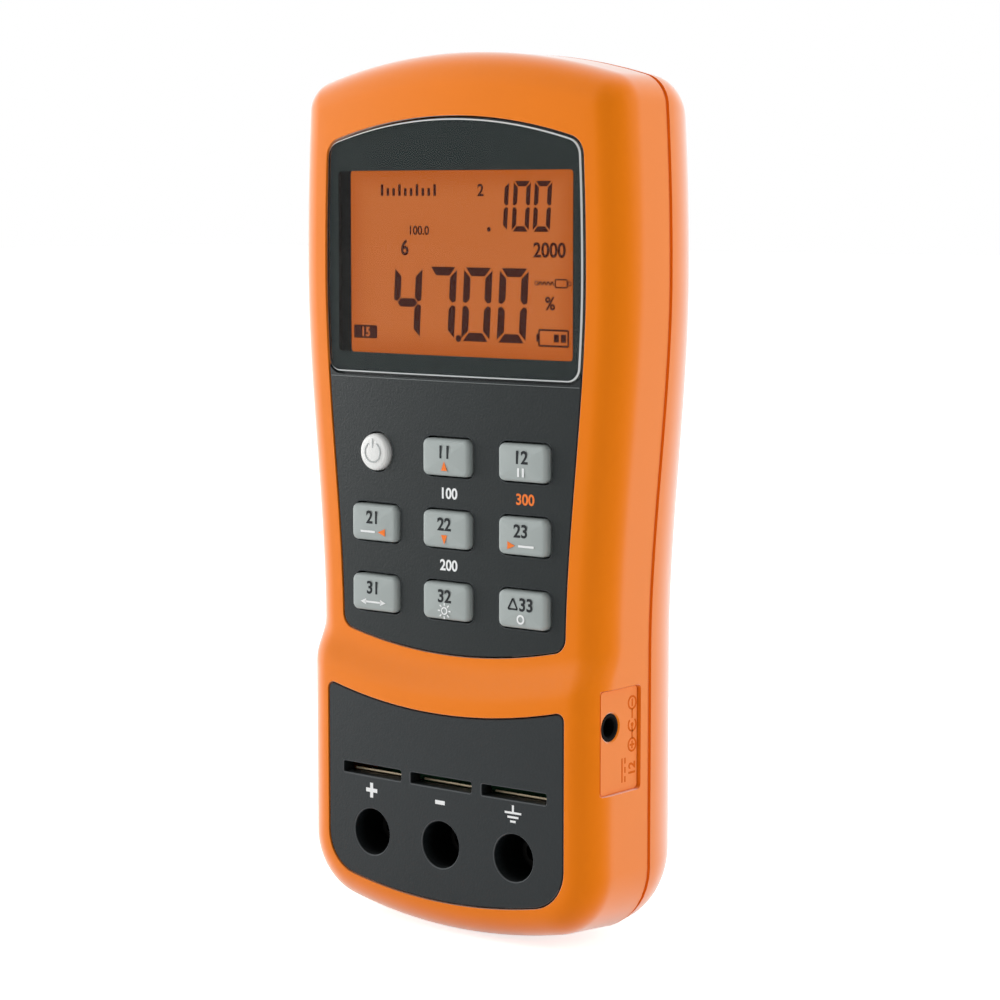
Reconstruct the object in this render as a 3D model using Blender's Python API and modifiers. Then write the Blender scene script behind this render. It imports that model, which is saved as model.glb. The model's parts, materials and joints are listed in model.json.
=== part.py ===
"""Handheld component tester: two-part moulded case, keypad and display panel, terminal panel,
keys, display stack, circuit board, battery and tilt stand.

The tester stands upright: +Z runs up its length, its face looks along -Y and +X is to the right
of someone reading it. The origin is on the floor, under the middle of the case.
"""

import math
from dataclasses import dataclass
from typing import Callable

import bmesh
import bpy
from mathutils import Matrix, Vector

# Gap left between pieces that touch, and the distance under which mesh points are one.
CLEARANCE = 0.0003
WELD = 0.000002
# How far a cutter runs past the wall that it cuts.
OVERRUN = 0.002

# Case: outline seen from the front.
CASE_HEIGHT = 0.184
SHOULDER_WIDTH = 0.0874
SHOULDER_DROP = 0.0459
SHOULDER_Z = CASE_HEIGHT - SHOULDER_DROP
GRIP_DRAW = 0.0047
GRIP_WIDTH = SHOULDER_WIDTH - 2 * GRIP_DRAW
GRIP_Z = 0.0619
CROWN_DRAW = 0.0015
CROWN_WIDTH = SHOULDER_WIDTH - 2 * CROWN_DRAW
TOP_RADIUS = 0.141
TOP_CORNER = 0.0068
FOOT_RADIUS = 0.1328
FOOT_CORNER = 0.0142

# Case: depth, walls and roundings.
CASE_DEPTH = 0.041
SEAM_DEPTH = 0.0175
WALL = 0.0022
FRONT_FILLET = 0.0065
BACK_ROUND = 0.0201
FACE_BOW = 0.660
CHIN_RISE = 0.0003
CHIN_DRAFT = 0.00105

# Terminal block: its face stands forward of the keypad's face, over a curved ramp.
BLOCK_STEP = 0.003
RAMP_TOP_Z = 0.0588
RAMP_RUN = 0.0086
RAMP_RADIUS = 0.140

# Keypad panel: dark plate held behind the case's front wall by a flange.
PANEL_MARGIN = 0.0093
PANEL_TOP_DROP = 0.0133
PANEL_TOP_Z = CASE_HEIGHT - PANEL_TOP_DROP
PANEL_TOP_RADIUS = 0.113
PANEL_TOP_CORNER = 0.0039
PANEL_FOOT_Z = 0.0598
PANEL_FOOT_RADIUS = 0.1225
PANEL_FOOT_CORNER = 0.0031
PANEL_RECESS = 0.0001
FLANGE_WIDTH = 0.0012
FLANGE_THICKNESS = 0.001

# Display: lens across the panel's top, standing a little proud, with glass and light behind it.
LENS_MARGIN = 0.0003
LENS_FOOT_Z = 0.1177
LENS_FOOT_RADIUS = 0.900
LENS_FOOT_CORNER = 0.003
LENS_THICKNESS = 0.0012
LENS_PROUD = 0.0004
VIEW_SIDE_GAP = 0.0035
VIEW_TOP_GAP = 0.0105
VIEW_FOOT_GAP = 0.0042
VIEW_CORNER = 0.001
VIEW_WIDTH = SHOULDER_WIDTH - 2 * (PANEL_MARGIN + LENS_MARGIN + VIEW_SIDE_GAP)
VIEW_TOP_Z = PANEL_TOP_Z - LENS_MARGIN - VIEW_TOP_GAP
VIEW_FOOT_Z = LENS_FOOT_Z + VIEW_FOOT_GAP
VIEW_HEIGHT = VIEW_TOP_Z - VIEW_FOOT_Z
VIEW_Z = (VIEW_TOP_Z + VIEW_FOOT_Z) / 2
GLASS_BORDER_X = 0.0006
GLASS_BORDER_Z = 0.0026
GLASS_THICKNESS = 0.0013
FRAME_WALL = 0.0012
STRIP_THICKNESS = 0.0016

# Keys: three columns and three rows, the round power key at the top left.
KEY_COLUMN_INSET = 0.0098
KEY_PITCH_X = GRIP_WIDTH / 2 - PANEL_MARGIN - KEY_COLUMN_INSET
KEY_PITCH_Z = 0.015
KEY_TOP_ROW_Z = 0.101
KEY_WIDTH = 0.0124
KEY_HEIGHT = 0.0077
KEY_CORNER = 0.0012
KEY_EDGE = 0.0006
KEY_EDGE_FALL = 0.0002
KEY_PROUD = 0.0015
KEY_TRAVEL = 0.0007
KEY_RIM = 0.0009
KEY_RIM_THICKNESS = 0.001
POWER_KEY_DIAMETER = 0.0078
DOME_HEIGHT = 0.0012
DOME_DIAMETER = 0.007
MAT_THICKNESS = 0.0008
MAT_MARGIN = 0.0014

# Circuit board and what it carries.
BOARD_THICKNESS = 0.0016
BOARD_MARGIN = 0.012
BOARD_TOP_DROP = 0.016
BOARD_TOP_Z = CASE_HEIGHT - BOARD_TOP_DROP
BOARD_FOOT_Z = 0.010
BOARD_CORNER = 0.003
BOARD_EDGE_RADIUS = 2.0
POST_DIAMETER = 0.0046
POST_INSET = 0.0061
POST_X = GRIP_WIDTH / 2 - PANEL_MARGIN - POST_INSET
POST_FOOT_GAP = 0.004
BOARD_SCREW_DIAMETER = 0.002
BOARD_SCREW_HEAD = 0.0038
BOARD_SCREW_HEAD_HEIGHT = 0.0014
BOARD_SCREW_GRIP = 0.003
CHIP_SIDE = 0.014
CHIP_HEIGHT = 0.0016
CHIP_Z = 0.120
BUZZER_DIAMETER = 0.013
BUZZER_HEIGHT = 0.003
BUZZER_X = -0.014
BUZZER_DROP = 0.018
BUZZER_Z = BOARD_TOP_Z - BUZZER_DROP

# Terminal panel: three lead slots over three round sockets.
TERMINAL_MARGIN = 0.0074
TERMINAL_TOP_Z = 0.0473
TERMINAL_FOOT_Z = 0.0079
TERMINAL_TOP_RADIUS = 0.1313
TERMINAL_FOOT_RADIUS = 0.128
TERMINAL_TOP_CORNER = 0.0013
TERMINAL_FOOT_CORNER = 0.0086
SOCKET_INSET = 0.0124
SOCKET_PITCH = GRIP_WIDTH / 2 - TERMINAL_MARGIN - SOCKET_INSET
SOCKET_Z = 0.0199
SOCKET_BORE = 0.010
SHROUD_WALL = 0.0012
CONTACT_BORE = 0.004
CONTACT_DIAMETER = 0.006
CONTACT_LENGTH = 0.014
CONTACT_STANDING = 0.0025
CONTACT_COLLAR = 0.0085
CONTACT_COLLAR_HEIGHT = 0.0012
SLOT_Z = 0.0331
SLOT_LAND = 0.0026
SLOT_WIDTH = SOCKET_PITCH - SLOT_LAND
SLOT_CORNER = 0.0004
SLOT_HEIGHT = 0.0024
STRIP_METAL = 0.0004
STRIP_END_GAP = 0.0005
STRIP_LENGTH = SLOT_WIDTH - 2 * STRIP_END_GAP
STRIP_MOUTH = 0.0013
STRIP_PINCH = 0.0005
STRIP_LIP = 0.0004

# Power inlet in the right wall, in a shallow flat pad.
JACK_Z = 0.0481
JACK_HOLE = 0.0058
JACK_BODY = 0.0068
JACK_WIDTH = 0.009
JACK_LENGTH = 0.0115
JACK_BORE = 0.0048
JACK_BASE = 0.002
JACK_PIN = 0.002
JACK_PIN_RECESS = 0.0025
PAD_WIDTH = 0.0133
PAD_HEIGHT = 0.0217
PAD_CENTRE_Z = 0.0451
PAD_SETBACK = 0.0077
PAD_DEPTH = 0.0008
PAD_CORNER = 0.001

# Case screws, driven from the back into bosses on the side walls.
SCREW_INSET = 0.0064
SCREW_TOP_DROP = 0.026
SCREW_TOP_Z = CASE_HEIGHT - SCREW_TOP_DROP
SCREW_FOOT_Z = 0.028
BOSS_DIAMETER = 0.007
BOSS_SETBACK = 0.006
WELL_BOSS_DIAMETER = 0.009
SCREW_DIAMETER = 0.003
SCREW_HEAD = 0.0056
SCREW_HEAD_HEIGHT = 0.002
SCREW_SEAT = 0.005
SCREW_REACH = 0.010

# Battery bay and its cover, in the back.
BATTERY_WIDTH = 0.0262
BATTERY_LENGTH = 0.046
BATTERY_DEPTH = 0.0172
BATTERY_EDGE = 0.001
STUD_DIAMETER = 0.0057
STUD_HEIGHT = 0.0025
STUD_PITCH = 0.0127
BAY_FOOT_Z = 0.0332
BAY_WALL = 0.0014
CONTACT_BLOCK_HEIGHT = 0.0036
CONTACT_BLOCK_WIDTH = 0.024
CONTACT_BLOCK_DEPTH = 0.011
COVER_THICKNESS = 0.002
COVER_LEDGE = 0.0014
COVER_CORNER = 0.002
COVER_HEADROOM = 0.010
COVER_SCREW_INSET = 0.0048
COVER_SCREW_DIAMETER = 0.0026
COVER_SCREW_HEAD = 0.005
COVER_SCREW_HEAD_HEIGHT = 0.001
COVER_SCREW_REACH = 0.004

# Tilt stand: a bail round the battery cover, hinged at its upper ends.
STAND_LEG = 0.0054
STAND_FOOT = 0.0066
STAND_THICKNESS = 0.0038
STAND_GAP = 0.0014
STAND_CORNER = 0.003
STAND_HINGE_GAP = 0.005
STAND_KNUCKLE = 0.003
STAND_PEG = 0.002
STAND_PEG_LENGTH = 0.002
STAND_SWING_ROOM = 0.0034
STAND_FLOOR = 0.0022
THUMB_NOTCH = 0.014
THUMB_NOTCH_DEPTH = 0.005

# Points on curves: corners, arcs, roundings, turned pieces and small round holes.
CORNER_STEPS = 4
ARC_STEPS = 4
SIDE_STEP = 0.013
RAMP_STEP = 0.0028
FILLET_STEPS = 4
WALL_STEPS = 3
BACK_STEPS = 5
FACE_STEPS = 2
INSIDE_STEPS = 3
BOW_STEPS = 8
TURN_STEPS = 14
HOLE_STEPS = 16

# Depths, from the face backwards.
Y_BLOCK = -CASE_DEPTH / 2
Y_FACE = Y_BLOCK + BLOCK_STEP
Y_BACK = CASE_DEPTH / 2
Y_SEAM = Y_FACE + SEAM_DEPTH
PANEL_DEPTH = WALL + CLEARANCE + FLANGE_THICKNESS
Y_PANEL = Y_FACE + PANEL_RECESS
Y_PANEL_BACK = Y_FACE + PANEL_DEPTH
Y_TERMINAL_BACK = Y_BLOCK + PANEL_DEPTH


@dataclass(frozen=True)
class Outline:
    """A plate seen from the front: side walls, a top and a foot arc, and rounded corners.

    An arc's radius is positive where it bulges outwards and negative where it is hollow.
    """

    half_width: Callable[[float], float]
    top_z: float
    top_radius: float
    top_corner: float
    foot_z: float
    foot_radius: float
    foot_corner: float
    dense: tuple[float, float] = (0.0, 0.0)


def smooth(t: float) -> float:
    """Ease from 0 to 1 as t runs from 0 to 1."""
    t = min(max(t, 0.0), 1.0)
    return t * t * (3.0 - 2.0 * t)


def case_half_width(z: float) -> float:
    """Half the case's width: narrow at the grip, widest at the shoulder, drawn in at the top."""
    grip, shoulder, crown = GRIP_WIDTH / 2, SHOULDER_WIDTH / 2, CROWN_WIDTH / 2
    if z <= SHOULDER_Z:
        return grip + (shoulder - grip) * smooth((z - GRIP_Z) / (SHOULDER_Z - GRIP_Z))
    rise = (z - SHOULDER_Z) / (CASE_HEIGHT - TOP_CORNER - SHOULDER_Z)
    return shoulder - (shoulder - crown) * rise * rise


def bow(x: float) -> float:
    """How far the bowed face falls back at x from its middle."""
    return x * x / (2.0 * FACE_BOW)


def face_y(x: float, z: float) -> float:
    """Depth of the case's front face, with the terminal block standing forward below the ramp."""
    ramp_top = RAMP_TOP_Z + x * x / (2.0 * RAMP_RADIUS)
    return Y_FACE + bow(x) - BLOCK_STEP * smooth((ramp_top - z) / RAMP_RUN)


CASE = Outline(
    case_half_width, CASE_HEIGHT, TOP_RADIUS, TOP_CORNER, 0.0, FOOT_RADIUS, FOOT_CORNER,
    dense=(RAMP_TOP_Z - RAMP_RUN, RAMP_TOP_Z + GRIP_WIDTH**2 / (8.0 * RAMP_RADIUS)),
)
PANEL = Outline(
    lambda z: case_half_width(z) - PANEL_MARGIN,
    PANEL_TOP_Z, PANEL_TOP_RADIUS, PANEL_TOP_CORNER,
    PANEL_FOOT_Z, PANEL_FOOT_RADIUS, PANEL_FOOT_CORNER,
)
LENS = Outline(
    lambda z: case_half_width(z) - PANEL_MARGIN - LENS_MARGIN,
    PANEL_TOP_Z - LENS_MARGIN, PANEL_TOP_RADIUS - LENS_MARGIN, PANEL_TOP_CORNER - LENS_MARGIN,
    LENS_FOOT_Z, LENS_FOOT_RADIUS, LENS_FOOT_CORNER,
)
TERMINALS = Outline(
    lambda z: case_half_width(z) - TERMINAL_MARGIN,
    TERMINAL_TOP_Z, -TERMINAL_TOP_RADIUS, TERMINAL_TOP_CORNER,
    TERMINAL_FOOT_Z, TERMINAL_FOOT_RADIUS, TERMINAL_FOOT_CORNER,
)
BOARD = Outline(
    lambda z: case_half_width(z) - BOARD_MARGIN,
    BOARD_TOP_Z, BOARD_EDGE_RADIUS, BOARD_CORNER,
    BOARD_FOOT_Z, BOARD_EDGE_RADIUS, BOARD_CORNER,
)


def corner_centre(shape: Outline, upper: bool) -> tuple[float, float]:
    """Centre of the rounded corner between a side wall and the top or foot arc."""
    sign = 1.0 if upper else -1.0
    edge = shape.top_z if upper else shape.foot_z
    radius = shape.top_radius if upper else shape.foot_radius
    corner = shape.top_corner if upper else shape.foot_corner
    arc_z = edge - sign * radius
    reach = radius - corner
    z = edge - sign * corner
    for _ in range(30):
        x = shape.half_width(z) - corner
        z = arc_z + sign * math.copysign(math.sqrt(reach * reach - x * x), reach)
    return x, z


def side_heights(shape: Outline, low: float, high: float) -> list[float]:
    """Heights of the points up a side wall, closer together on the dense stretch."""
    ends = [low, *(z for z in shape.dense if low < z < high), high]
    heights = [low]
    for start, end in zip(ends, ends[1:]):
        dense = shape.dense[0] <= start < shape.dense[1]
        count = math.ceil((end - start) / (RAMP_STEP if dense else SIDE_STEP))
        heights += [start + (end - start) * k / count for k in range(1, count + 1)]
    return heights


def half_outline(shape: Outline) -> list[tuple[float, float, float, float]]:
    """Right half of an outline from its foot to its top, as x, z and the outward normal."""
    points = []
    foot_x, foot_z = corner_centre(shape, False)
    top_x, top_z = corner_centre(shape, True)
    foot_arc_z = shape.foot_z + shape.foot_radius
    top_arc_z = shape.top_z - shape.top_radius
    foot_reach = shape.foot_radius - shape.foot_corner
    top_reach = shape.top_radius - shape.top_corner
    foot_angle = math.atan2((foot_z - foot_arc_z) / foot_reach, foot_x / foot_reach)
    top_angle = math.atan2((top_z - top_arc_z) / top_reach, top_x / top_reach)
    for k in range(ARC_STEPS):
        angle = -math.pi / 2 + (foot_angle + math.pi / 2) * k / ARC_STEPS
        normal = (math.cos(angle), math.sin(angle))
        points.append((shape.foot_radius * normal[0], foot_arc_z + shape.foot_radius * normal[1], *normal))
    for k in range(CORNER_STEPS):
        angle = foot_angle * (1.0 - k / CORNER_STEPS)
        normal = (math.cos(angle), math.sin(angle))
        x = foot_x + shape.foot_corner * normal[0]
        points.append((x, foot_z + shape.foot_corner * normal[1], *normal))
    for z in side_heights(shape, foot_z, top_z):
        slope = (shape.half_width(z + WELD) - shape.half_width(z - WELD)) / (2.0 * WELD)
        length = math.hypot(1.0, slope)
        points.append((shape.half_width(z), z, 1.0 / length, -slope / length))
    for k in range(1, CORNER_STEPS + 1):
        angle = top_angle * k / CORNER_STEPS
        normal = (math.cos(angle), math.sin(angle))
        points.append((top_x + shape.top_corner * normal[0], top_z + shape.top_corner * normal[1], *normal))
    for k in range(1, ARC_STEPS + 1):
        angle = top_angle + (math.pi / 2 - top_angle) * k / ARC_STEPS
        normal = (math.cos(angle), math.sin(angle))
        points.append((shape.top_radius * normal[0], top_arc_z + shape.top_radius * normal[1], *normal))
    return points


def outline(shape: Outline) -> list[tuple[float, float, float, float]]:
    """Whole outline, anticlockwise from the middle of the foot."""
    right = half_outline(shape)
    left = [(-x, z, -nx, nz) for x, z, nx, nz in reversed(right[1:-1])]
    return right + left


def grown(shape: Outline, growth: float) -> list[tuple[float, float]]:
    """Outline moved outwards by growth."""
    return [(x + nx * growth, z + nz * growth) for x, z, nx, nz in outline(shape)]


def rounded_rectangle(
    width: float, height: float, corner: float, steps: int = 2
) -> list[tuple[float, float]]:
    """Rectangle with rounded corners about the origin, anticlockwise."""
    points = []
    for quarter, (sx, sz) in enumerate(((1, 1), (-1, 1), (-1, -1), (1, -1))):
        for k in range(steps + 1):
            angle = (quarter + k / steps) * math.pi / 2
            x = sx * (width / 2 - corner) + corner * math.cos(angle)
            z = sz * (height / 2 - corner) + corner * math.sin(angle)
            points.append((x, z))
    return points


def circle(diameter: float, steps: int = HOLE_STEPS) -> list[tuple[float, float]]:
    """Circle about the origin, anticlockwise."""
    turn = 2.0 * math.pi / steps
    return [(diameter / 2 * math.cos(turn * k), diameter / 2 * math.sin(turn * k)) for k in range(steps)]


def moved(points: list[tuple[float, float]], x: float, z: float) -> list[tuple[float, float]]:
    """Flat outline shifted by x and z."""
    return [(px + x, pz + z) for px, pz in points]


def material(name: str, colour: tuple[float, float, float], roughness: float, metallic: float = 0.0):
    """Principled finish of one colour."""
    finish = bpy.data.materials.new(name)
    finish.use_nodes = True
    shader = finish.node_tree.nodes["Principled BSDF"]
    shader.inputs["Base Color"].default_value = (*colour, 1.0)
    shader.inputs["Roughness"].default_value = roughness
    shader.inputs["Metallic"].default_value = metallic
    finish.diffuse_color = (*colour, 1.0)
    return finish


for old in list(bpy.data.objects):
    bpy.data.objects.remove(old, do_unlink=True)

PARTS = bpy.data.collections.new("component_tester")
CUTTERS = bpy.data.collections.new("cutters")
bpy.context.scene.collection.children.link(PARTS)
bpy.context.scene.collection.children.link(CUTTERS)
ROOT = bpy.data.objects.new("tester_root", None)
PARTS.objects.link(ROOT)

ORANGE = material("orange_case", (0.87, 0.22, 0.02), 0.45)
DARK_PANEL = material("dark_panel", (0.035, 0.036, 0.04), 0.5)
KEY_GREY = material("key_grey", (0.42, 0.42, 0.41), 0.5)
KEY_PALE = material("key_pale", (0.72, 0.72, 0.71), 0.45)
LENS_CLEAR = material("lens_clear", (0.03, 0.03, 0.032), 0.06)
AMBER = material("amber_glass", (0.62, 0.17, 0.03), 0.3)
WHITE_PLASTIC = material("white_plastic", (0.8, 0.8, 0.78), 0.4)
BLACK_PLASTIC = material("black_plastic", (0.02, 0.02, 0.02), 0.5)
BOARD_GREEN = material("board_green", (0.02, 0.16, 0.06), 0.4)
ELASTOMER = material("elastomer", (0.25, 0.25, 0.26), 0.8)
BRASS = material("brass", (0.72, 0.52, 0.22), 0.3, 1.0)
STEEL = material("steel", (0.6, 0.6, 0.6), 0.3, 1.0)
BATTERY_WRAP = material("battery_wrap", (0.09, 0.1, 0.12), 0.35)


def add(name: str, bm: bmesh.types.BMesh, finish) -> bpy.types.Object:
    """Object from a bmesh: a part where it has a finish, and otherwise a hidden cutter."""
    bmesh.ops.remove_doubles(bm, verts=bm.verts[:], dist=WELD)
    bmesh.ops.recalc_face_normals(bm, faces=bm.faces[:])
    mesh = bpy.data.meshes.new(name)
    bm.to_mesh(mesh)
    bm.free()
    mesh.shade_smooth()
    mesh.set_sharp_from_angle(angle=math.radians(30.0))
    piece = bpy.data.objects.new(name, mesh)
    if finish is None:
        CUTTERS.objects.link(piece)
        as_cutter(piece)
    else:
        PARTS.objects.link(piece)
        mesh.materials.append(finish)
        piece.parent = ROOT
    return piece


def as_cutter(piece: bpy.types.Object) -> None:
    """Show an object as a wire helper and leave it out of renders."""
    piece.hide_render = True
    piece.display_type = "WIRE"


def boolean(piece: bpy.types.Object, other: bpy.types.Object, operation: str) -> None:
    """Cut, join or trim a piece by another."""
    step = piece.modifiers.new(f"{operation.lower()} {other.name}", "BOOLEAN")
    step.operation = operation
    step.solver = "EXACT"
    step.object = other


def cut(piece: bpy.types.Object, *others: bpy.types.Object) -> None:
    """Take others away from a piece."""
    for other in others:
        boolean(piece, other, "DIFFERENCE")


def join(piece: bpy.types.Object, *others: bpy.types.Object) -> None:
    """Fuse others to a piece."""
    for other in others:
        boolean(piece, other, "UNION")


def keep_within(piece: bpy.types.Object, other: bpy.types.Object) -> None:
    """Keep what a piece shares with another."""
    boolean(piece, other, "INTERSECT")


def put_origin(piece: bpy.types.Object, point: Vector) -> None:
    """Move an object's origin to a point, with its shape left where it is."""
    piece.data.transform(Matrix.Translation(-point))
    piece.location = point


def skin(name: str, rings: list[list[Vector]], finish=None) -> bpy.types.Object:
    """Closed loft through rings of equally many points, with a flat face over an open end."""
    bm = bmesh.new()
    loops = [[bm.verts.new(point) for point in ring] for ring in rings]
    for near, far in zip(loops, loops[1:]):
        for k in range(len(near)):
            after = (k + 1) % len(near)
            bm.faces.new((near[k], near[after], far[after], far[k]))
    for ring, loop in ((rings[0], loops[0]), (rings[-1], loops[-1])):
        if (ring[1] - ring[-1]).length > WELD:
            bm.faces.new(loop)
    bmesh.ops.remove_doubles(bm, verts=bm.verts[:], dist=WELD)
    bmesh.ops.dissolve_degenerate(bm, edges=bm.edges[:], dist=WELD)
    return add(name, bm, finish)


def stack(name: str, sections: list[tuple[list[tuple[float, float]], float]], finish=None):
    """Loft through flat outlines, each at its own depth."""
    return skin(name, [[Vector((x, y, z)) for x, z in points] for points, y in sections], finish)


def prisms(
    name: str, outlines: list[list[tuple[float, float]]], y_front: float, y_back: float, finish=None
):
    """Flat outlines drawn out from y_front to y_back, as one object."""
    bm = bmesh.new()
    for points in outlines:
        front = [bm.verts.new((x, y_front, z)) for x, z in points]
        back = [bm.verts.new((x, y_back, z)) for x, z in points]
        bm.faces.new(front)
        bm.faces.new(back)
        for k in range(len(points)):
            after = (k + 1) % len(points)
            bm.faces.new((front[k], front[after], back[after], back[k]))
    return add(name, bm, finish)


def box(name: str, low: tuple[float, float, float], high: tuple[float, float, float], finish=None):
    """Box between two corners."""
    bm = bmesh.new()
    size = Vector(high) - Vector(low)
    middle = (Vector(high) + Vector(low)) / 2
    bmesh.ops.create_cube(bm, size=1.0, matrix=Matrix.Translation(middle) @ Matrix.Diagonal((*size, 1.0)))
    return add(name, bm, finish)


def sideways_rod(name: str, diameter: float, x_near: float, x_far: float, y: float, z: float, finish=None):
    """Round rod along X."""
    bm = bmesh.new()
    matrix = Matrix.Translation(((x_near + x_far) / 2, y, z)) @ Matrix.Rotation(math.pi / 2, 4, "Y")
    bmesh.ops.create_cone(
        bm, cap_ends=True, segments=HOLE_STEPS, radius1=diameter / 2, radius2=diameter / 2,
        depth=abs(x_far - x_near), matrix=matrix,
    )
    return add(name, bm, finish)


def plate(name: str, points: list[tuple[float, float]], y_front: float, y_back: float, finish=None):
    """Plate whose two faces follow the bow of the case's face."""
    reach = max(abs(x) for x, _ in points) + OVERRUN
    low = min(z for _, z in points) - OVERRUN
    high = max(z for _, z in points) + OVERRUN
    columns = [-reach + 2.0 * reach * k / BOW_STEPS for k in range(BOW_STEPS + 1)]
    section = [(x, y_front + bow(x)) for x in columns] + [(x, y_back + bow(x)) for x in reversed(columns)]
    bm = bmesh.new()
    lower = [bm.verts.new((x, y, low)) for x, y in section]
    upper = [bm.verts.new((x, y, high)) for x, y in section]
    last = len(section) - 1
    for k in range(BOW_STEPS):
        for loop in (lower, upper):
            bm.faces.new((loop[k], loop[k + 1], loop[last - k - 1], loop[last - k]))
    for k in range(len(section)):
        after = (k + 1) % len(section)
        bm.faces.new((lower[k], lower[after], upper[after], upper[k]))
    slab = add(name, bm, finish)
    deep = bow(reach) + OVERRUN
    keep_within(slab, prisms(f"{name}_edge", [points], y_front - OVERRUN, y_back + deep))
    return slab


def turned(name: str, profile: list[tuple[float, float]], closed: bool, finish=None):
    """Turned piece about its own Z axis, from radius and height pairs down its outer side."""
    mesh = bpy.data.meshes.new(name)
    points = [(radius, 0.0, height) for radius, height in profile]
    edges = [(k, k + 1) for k in range(len(points) - 1)]
    if closed:
        edges.append((len(points) - 1, 0))
    mesh.from_pydata(points, edges, [])
    piece = bpy.data.objects.new(name, mesh)
    spin = piece.modifiers.new("turn", "SCREW")
    spin.steps = TURN_STEPS
    spin.render_steps = TURN_STEPS
    spin.use_merge_vertices = True
    spin.merge_threshold = WELD
    spin.use_smooth_shade = True
    PARTS.objects.link(piece)
    mesh.materials.append(finish)
    piece.parent = ROOT
    return piece


def screw(name: str, head: float, head_height: float, shank: float, length: float):
    """Screw with its head's underside at its origin and its head along +Z."""
    slope = head_height / 3
    profile = [
        (0.0, head_height), (head / 2 - slope, head_height), (head / 2, head_height - slope), (head / 2, 0.0),
        (shank / 2, 0.0), (shank / 2, -length + shank / 2), (0.0, -length),
    ]
    return turned(name, profile, False, STEEL)


def medial(x: float, z: float) -> tuple[float, float]:
    """Nearest point of the case's middle line, towards which its rings shrink."""
    low = case_half_width(0.0)
    high = CASE_HEIGHT - case_half_width(CASE_HEIGHT - TOP_CORNER)
    return 0.0, min(max(z, low), high)


def shrunk(points: list[tuple[float, float]], share: float) -> list[tuple[float, float]]:
    """Ring drawn in towards the case's middle line by a share of the way."""
    ring = []
    for x, z in points:
        mid_x, mid_z = medial(x, z)
        ring.append((x + (mid_x - x) * share, z + (mid_z - z) * share))
    return ring


def case_path(inset: float, foot_draw: float) -> list[tuple[float, float]]:
    """Outline of the case drawn in by a wall, and a little more along its foot."""
    path = []
    for x, z, nx, nz in outline(CASE):
        drawn = inset + foot_draw * max(0.0, -nz)
        path.append((x - nx * drawn, z - nz * drawn))
    return path


def front_rings(inset: float) -> list[list[Vector]]:
    """Rings of the front half's skin, from the seam forwards to the middle of its face."""
    fillet = FRONT_FILLET - inset
    rings = []
    for k in range(WALL_STEPS):
        share = 1.0 - k / WALL_STEPS
        path = case_path(inset, CHIN_DRAFT * (1.0 - share))
        rings.append([
            Vector((x, Y_SEAM * share + (face_y(x, z) + FRONT_FILLET) * (1.0 - share), z)) for x, z in path
        ])
    steps = INSIDE_STEPS if inset else FILLET_STEPS
    for k in range(steps + 1):
        angle = math.pi / 2 * k / steps
        drawn = inset + fillet * (1.0 - math.cos(angle))
        path = case_path(drawn, CHIN_DRAFT)
        sunk = FRONT_FILLET - fillet * math.sin(angle)
        rings.append([Vector((x, face_y(x, z) + sunk, z)) for x, z in path])
    edge = case_path(FRONT_FILLET, CHIN_DRAFT)
    for k in range(1, FACE_STEPS + 1):
        path = shrunk(edge, k / FACE_STEPS)
        rings.append([Vector((x, face_y(x, z) + inset, z)) for x, z in path])
    return rings


def rear_rings(inset: float, overrun: float) -> list[list[Vector]]:
    """Rings of the rear half's skin, from the seam back to the flat back."""
    y_start = Y_SEAM + CLEARANCE
    rounding = min(BACK_ROUND, Y_BACK - y_start)
    y_turn = Y_BACK - rounding
    path = case_path(inset, CHIN_RISE)
    rings = [[Vector((x, y_start - overrun, z)) for x, z in path]]
    share = (rounding - inset) / (GRIP_WIDTH / 2 - inset)
    steps = INSIDE_STEPS if inset else BACK_STEPS
    for k in range(steps + 1):
        angle = math.pi / 2 * k / steps
        ring = shrunk(path, share * (1.0 - math.cos(angle)))
        rings.append([Vector((x, y_turn + (rounding - inset) * math.sin(angle), z)) for x, z in ring])
    return rings


def screw_places() -> list[tuple[float, float]]:
    """Where the four case screws stand, as x and z."""
    places = []
    for z in (SCREW_TOP_Z, SCREW_FOOT_Z):
        x = case_half_width(z) - SCREW_INSET
        places += [(x, z), (-x, z)]
    return places


def boss_outline(x: float, z: float, diameter: float) -> list[tuple[float, float]]:
    """Round boss carried out to the side wall."""
    wall_x = math.copysign(case_half_width(z) - WALL / 2, x)
    side = math.copysign(1.0, x)
    arc = [math.pi / 2 + math.pi * k / (HOLE_STEPS / 2) for k in range(HOLE_STEPS // 2 + 1)]
    points = [(x + side * diameter / 2 * math.cos(a), z + diameter / 2 * math.sin(a)) for a in arc]
    return points + [(wall_x, z - diameter / 2), (wall_x, z + diameter / 2)]


def wall_x(z: float) -> float:
    """Inner face of the case's right wall."""
    return case_half_width(z) - WALL


def fillet_draw(y: float, z: float) -> float:
    """How far the inside of the front fillet stands in from the right wall at a depth."""
    radius = FRONT_FILLET - WALL
    forward = face_y(wall_x(z), z) + FRONT_FILLET - y
    return radius - math.sqrt(radius**2 - min(max(forward, 0.0), radius) ** 2)


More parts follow.
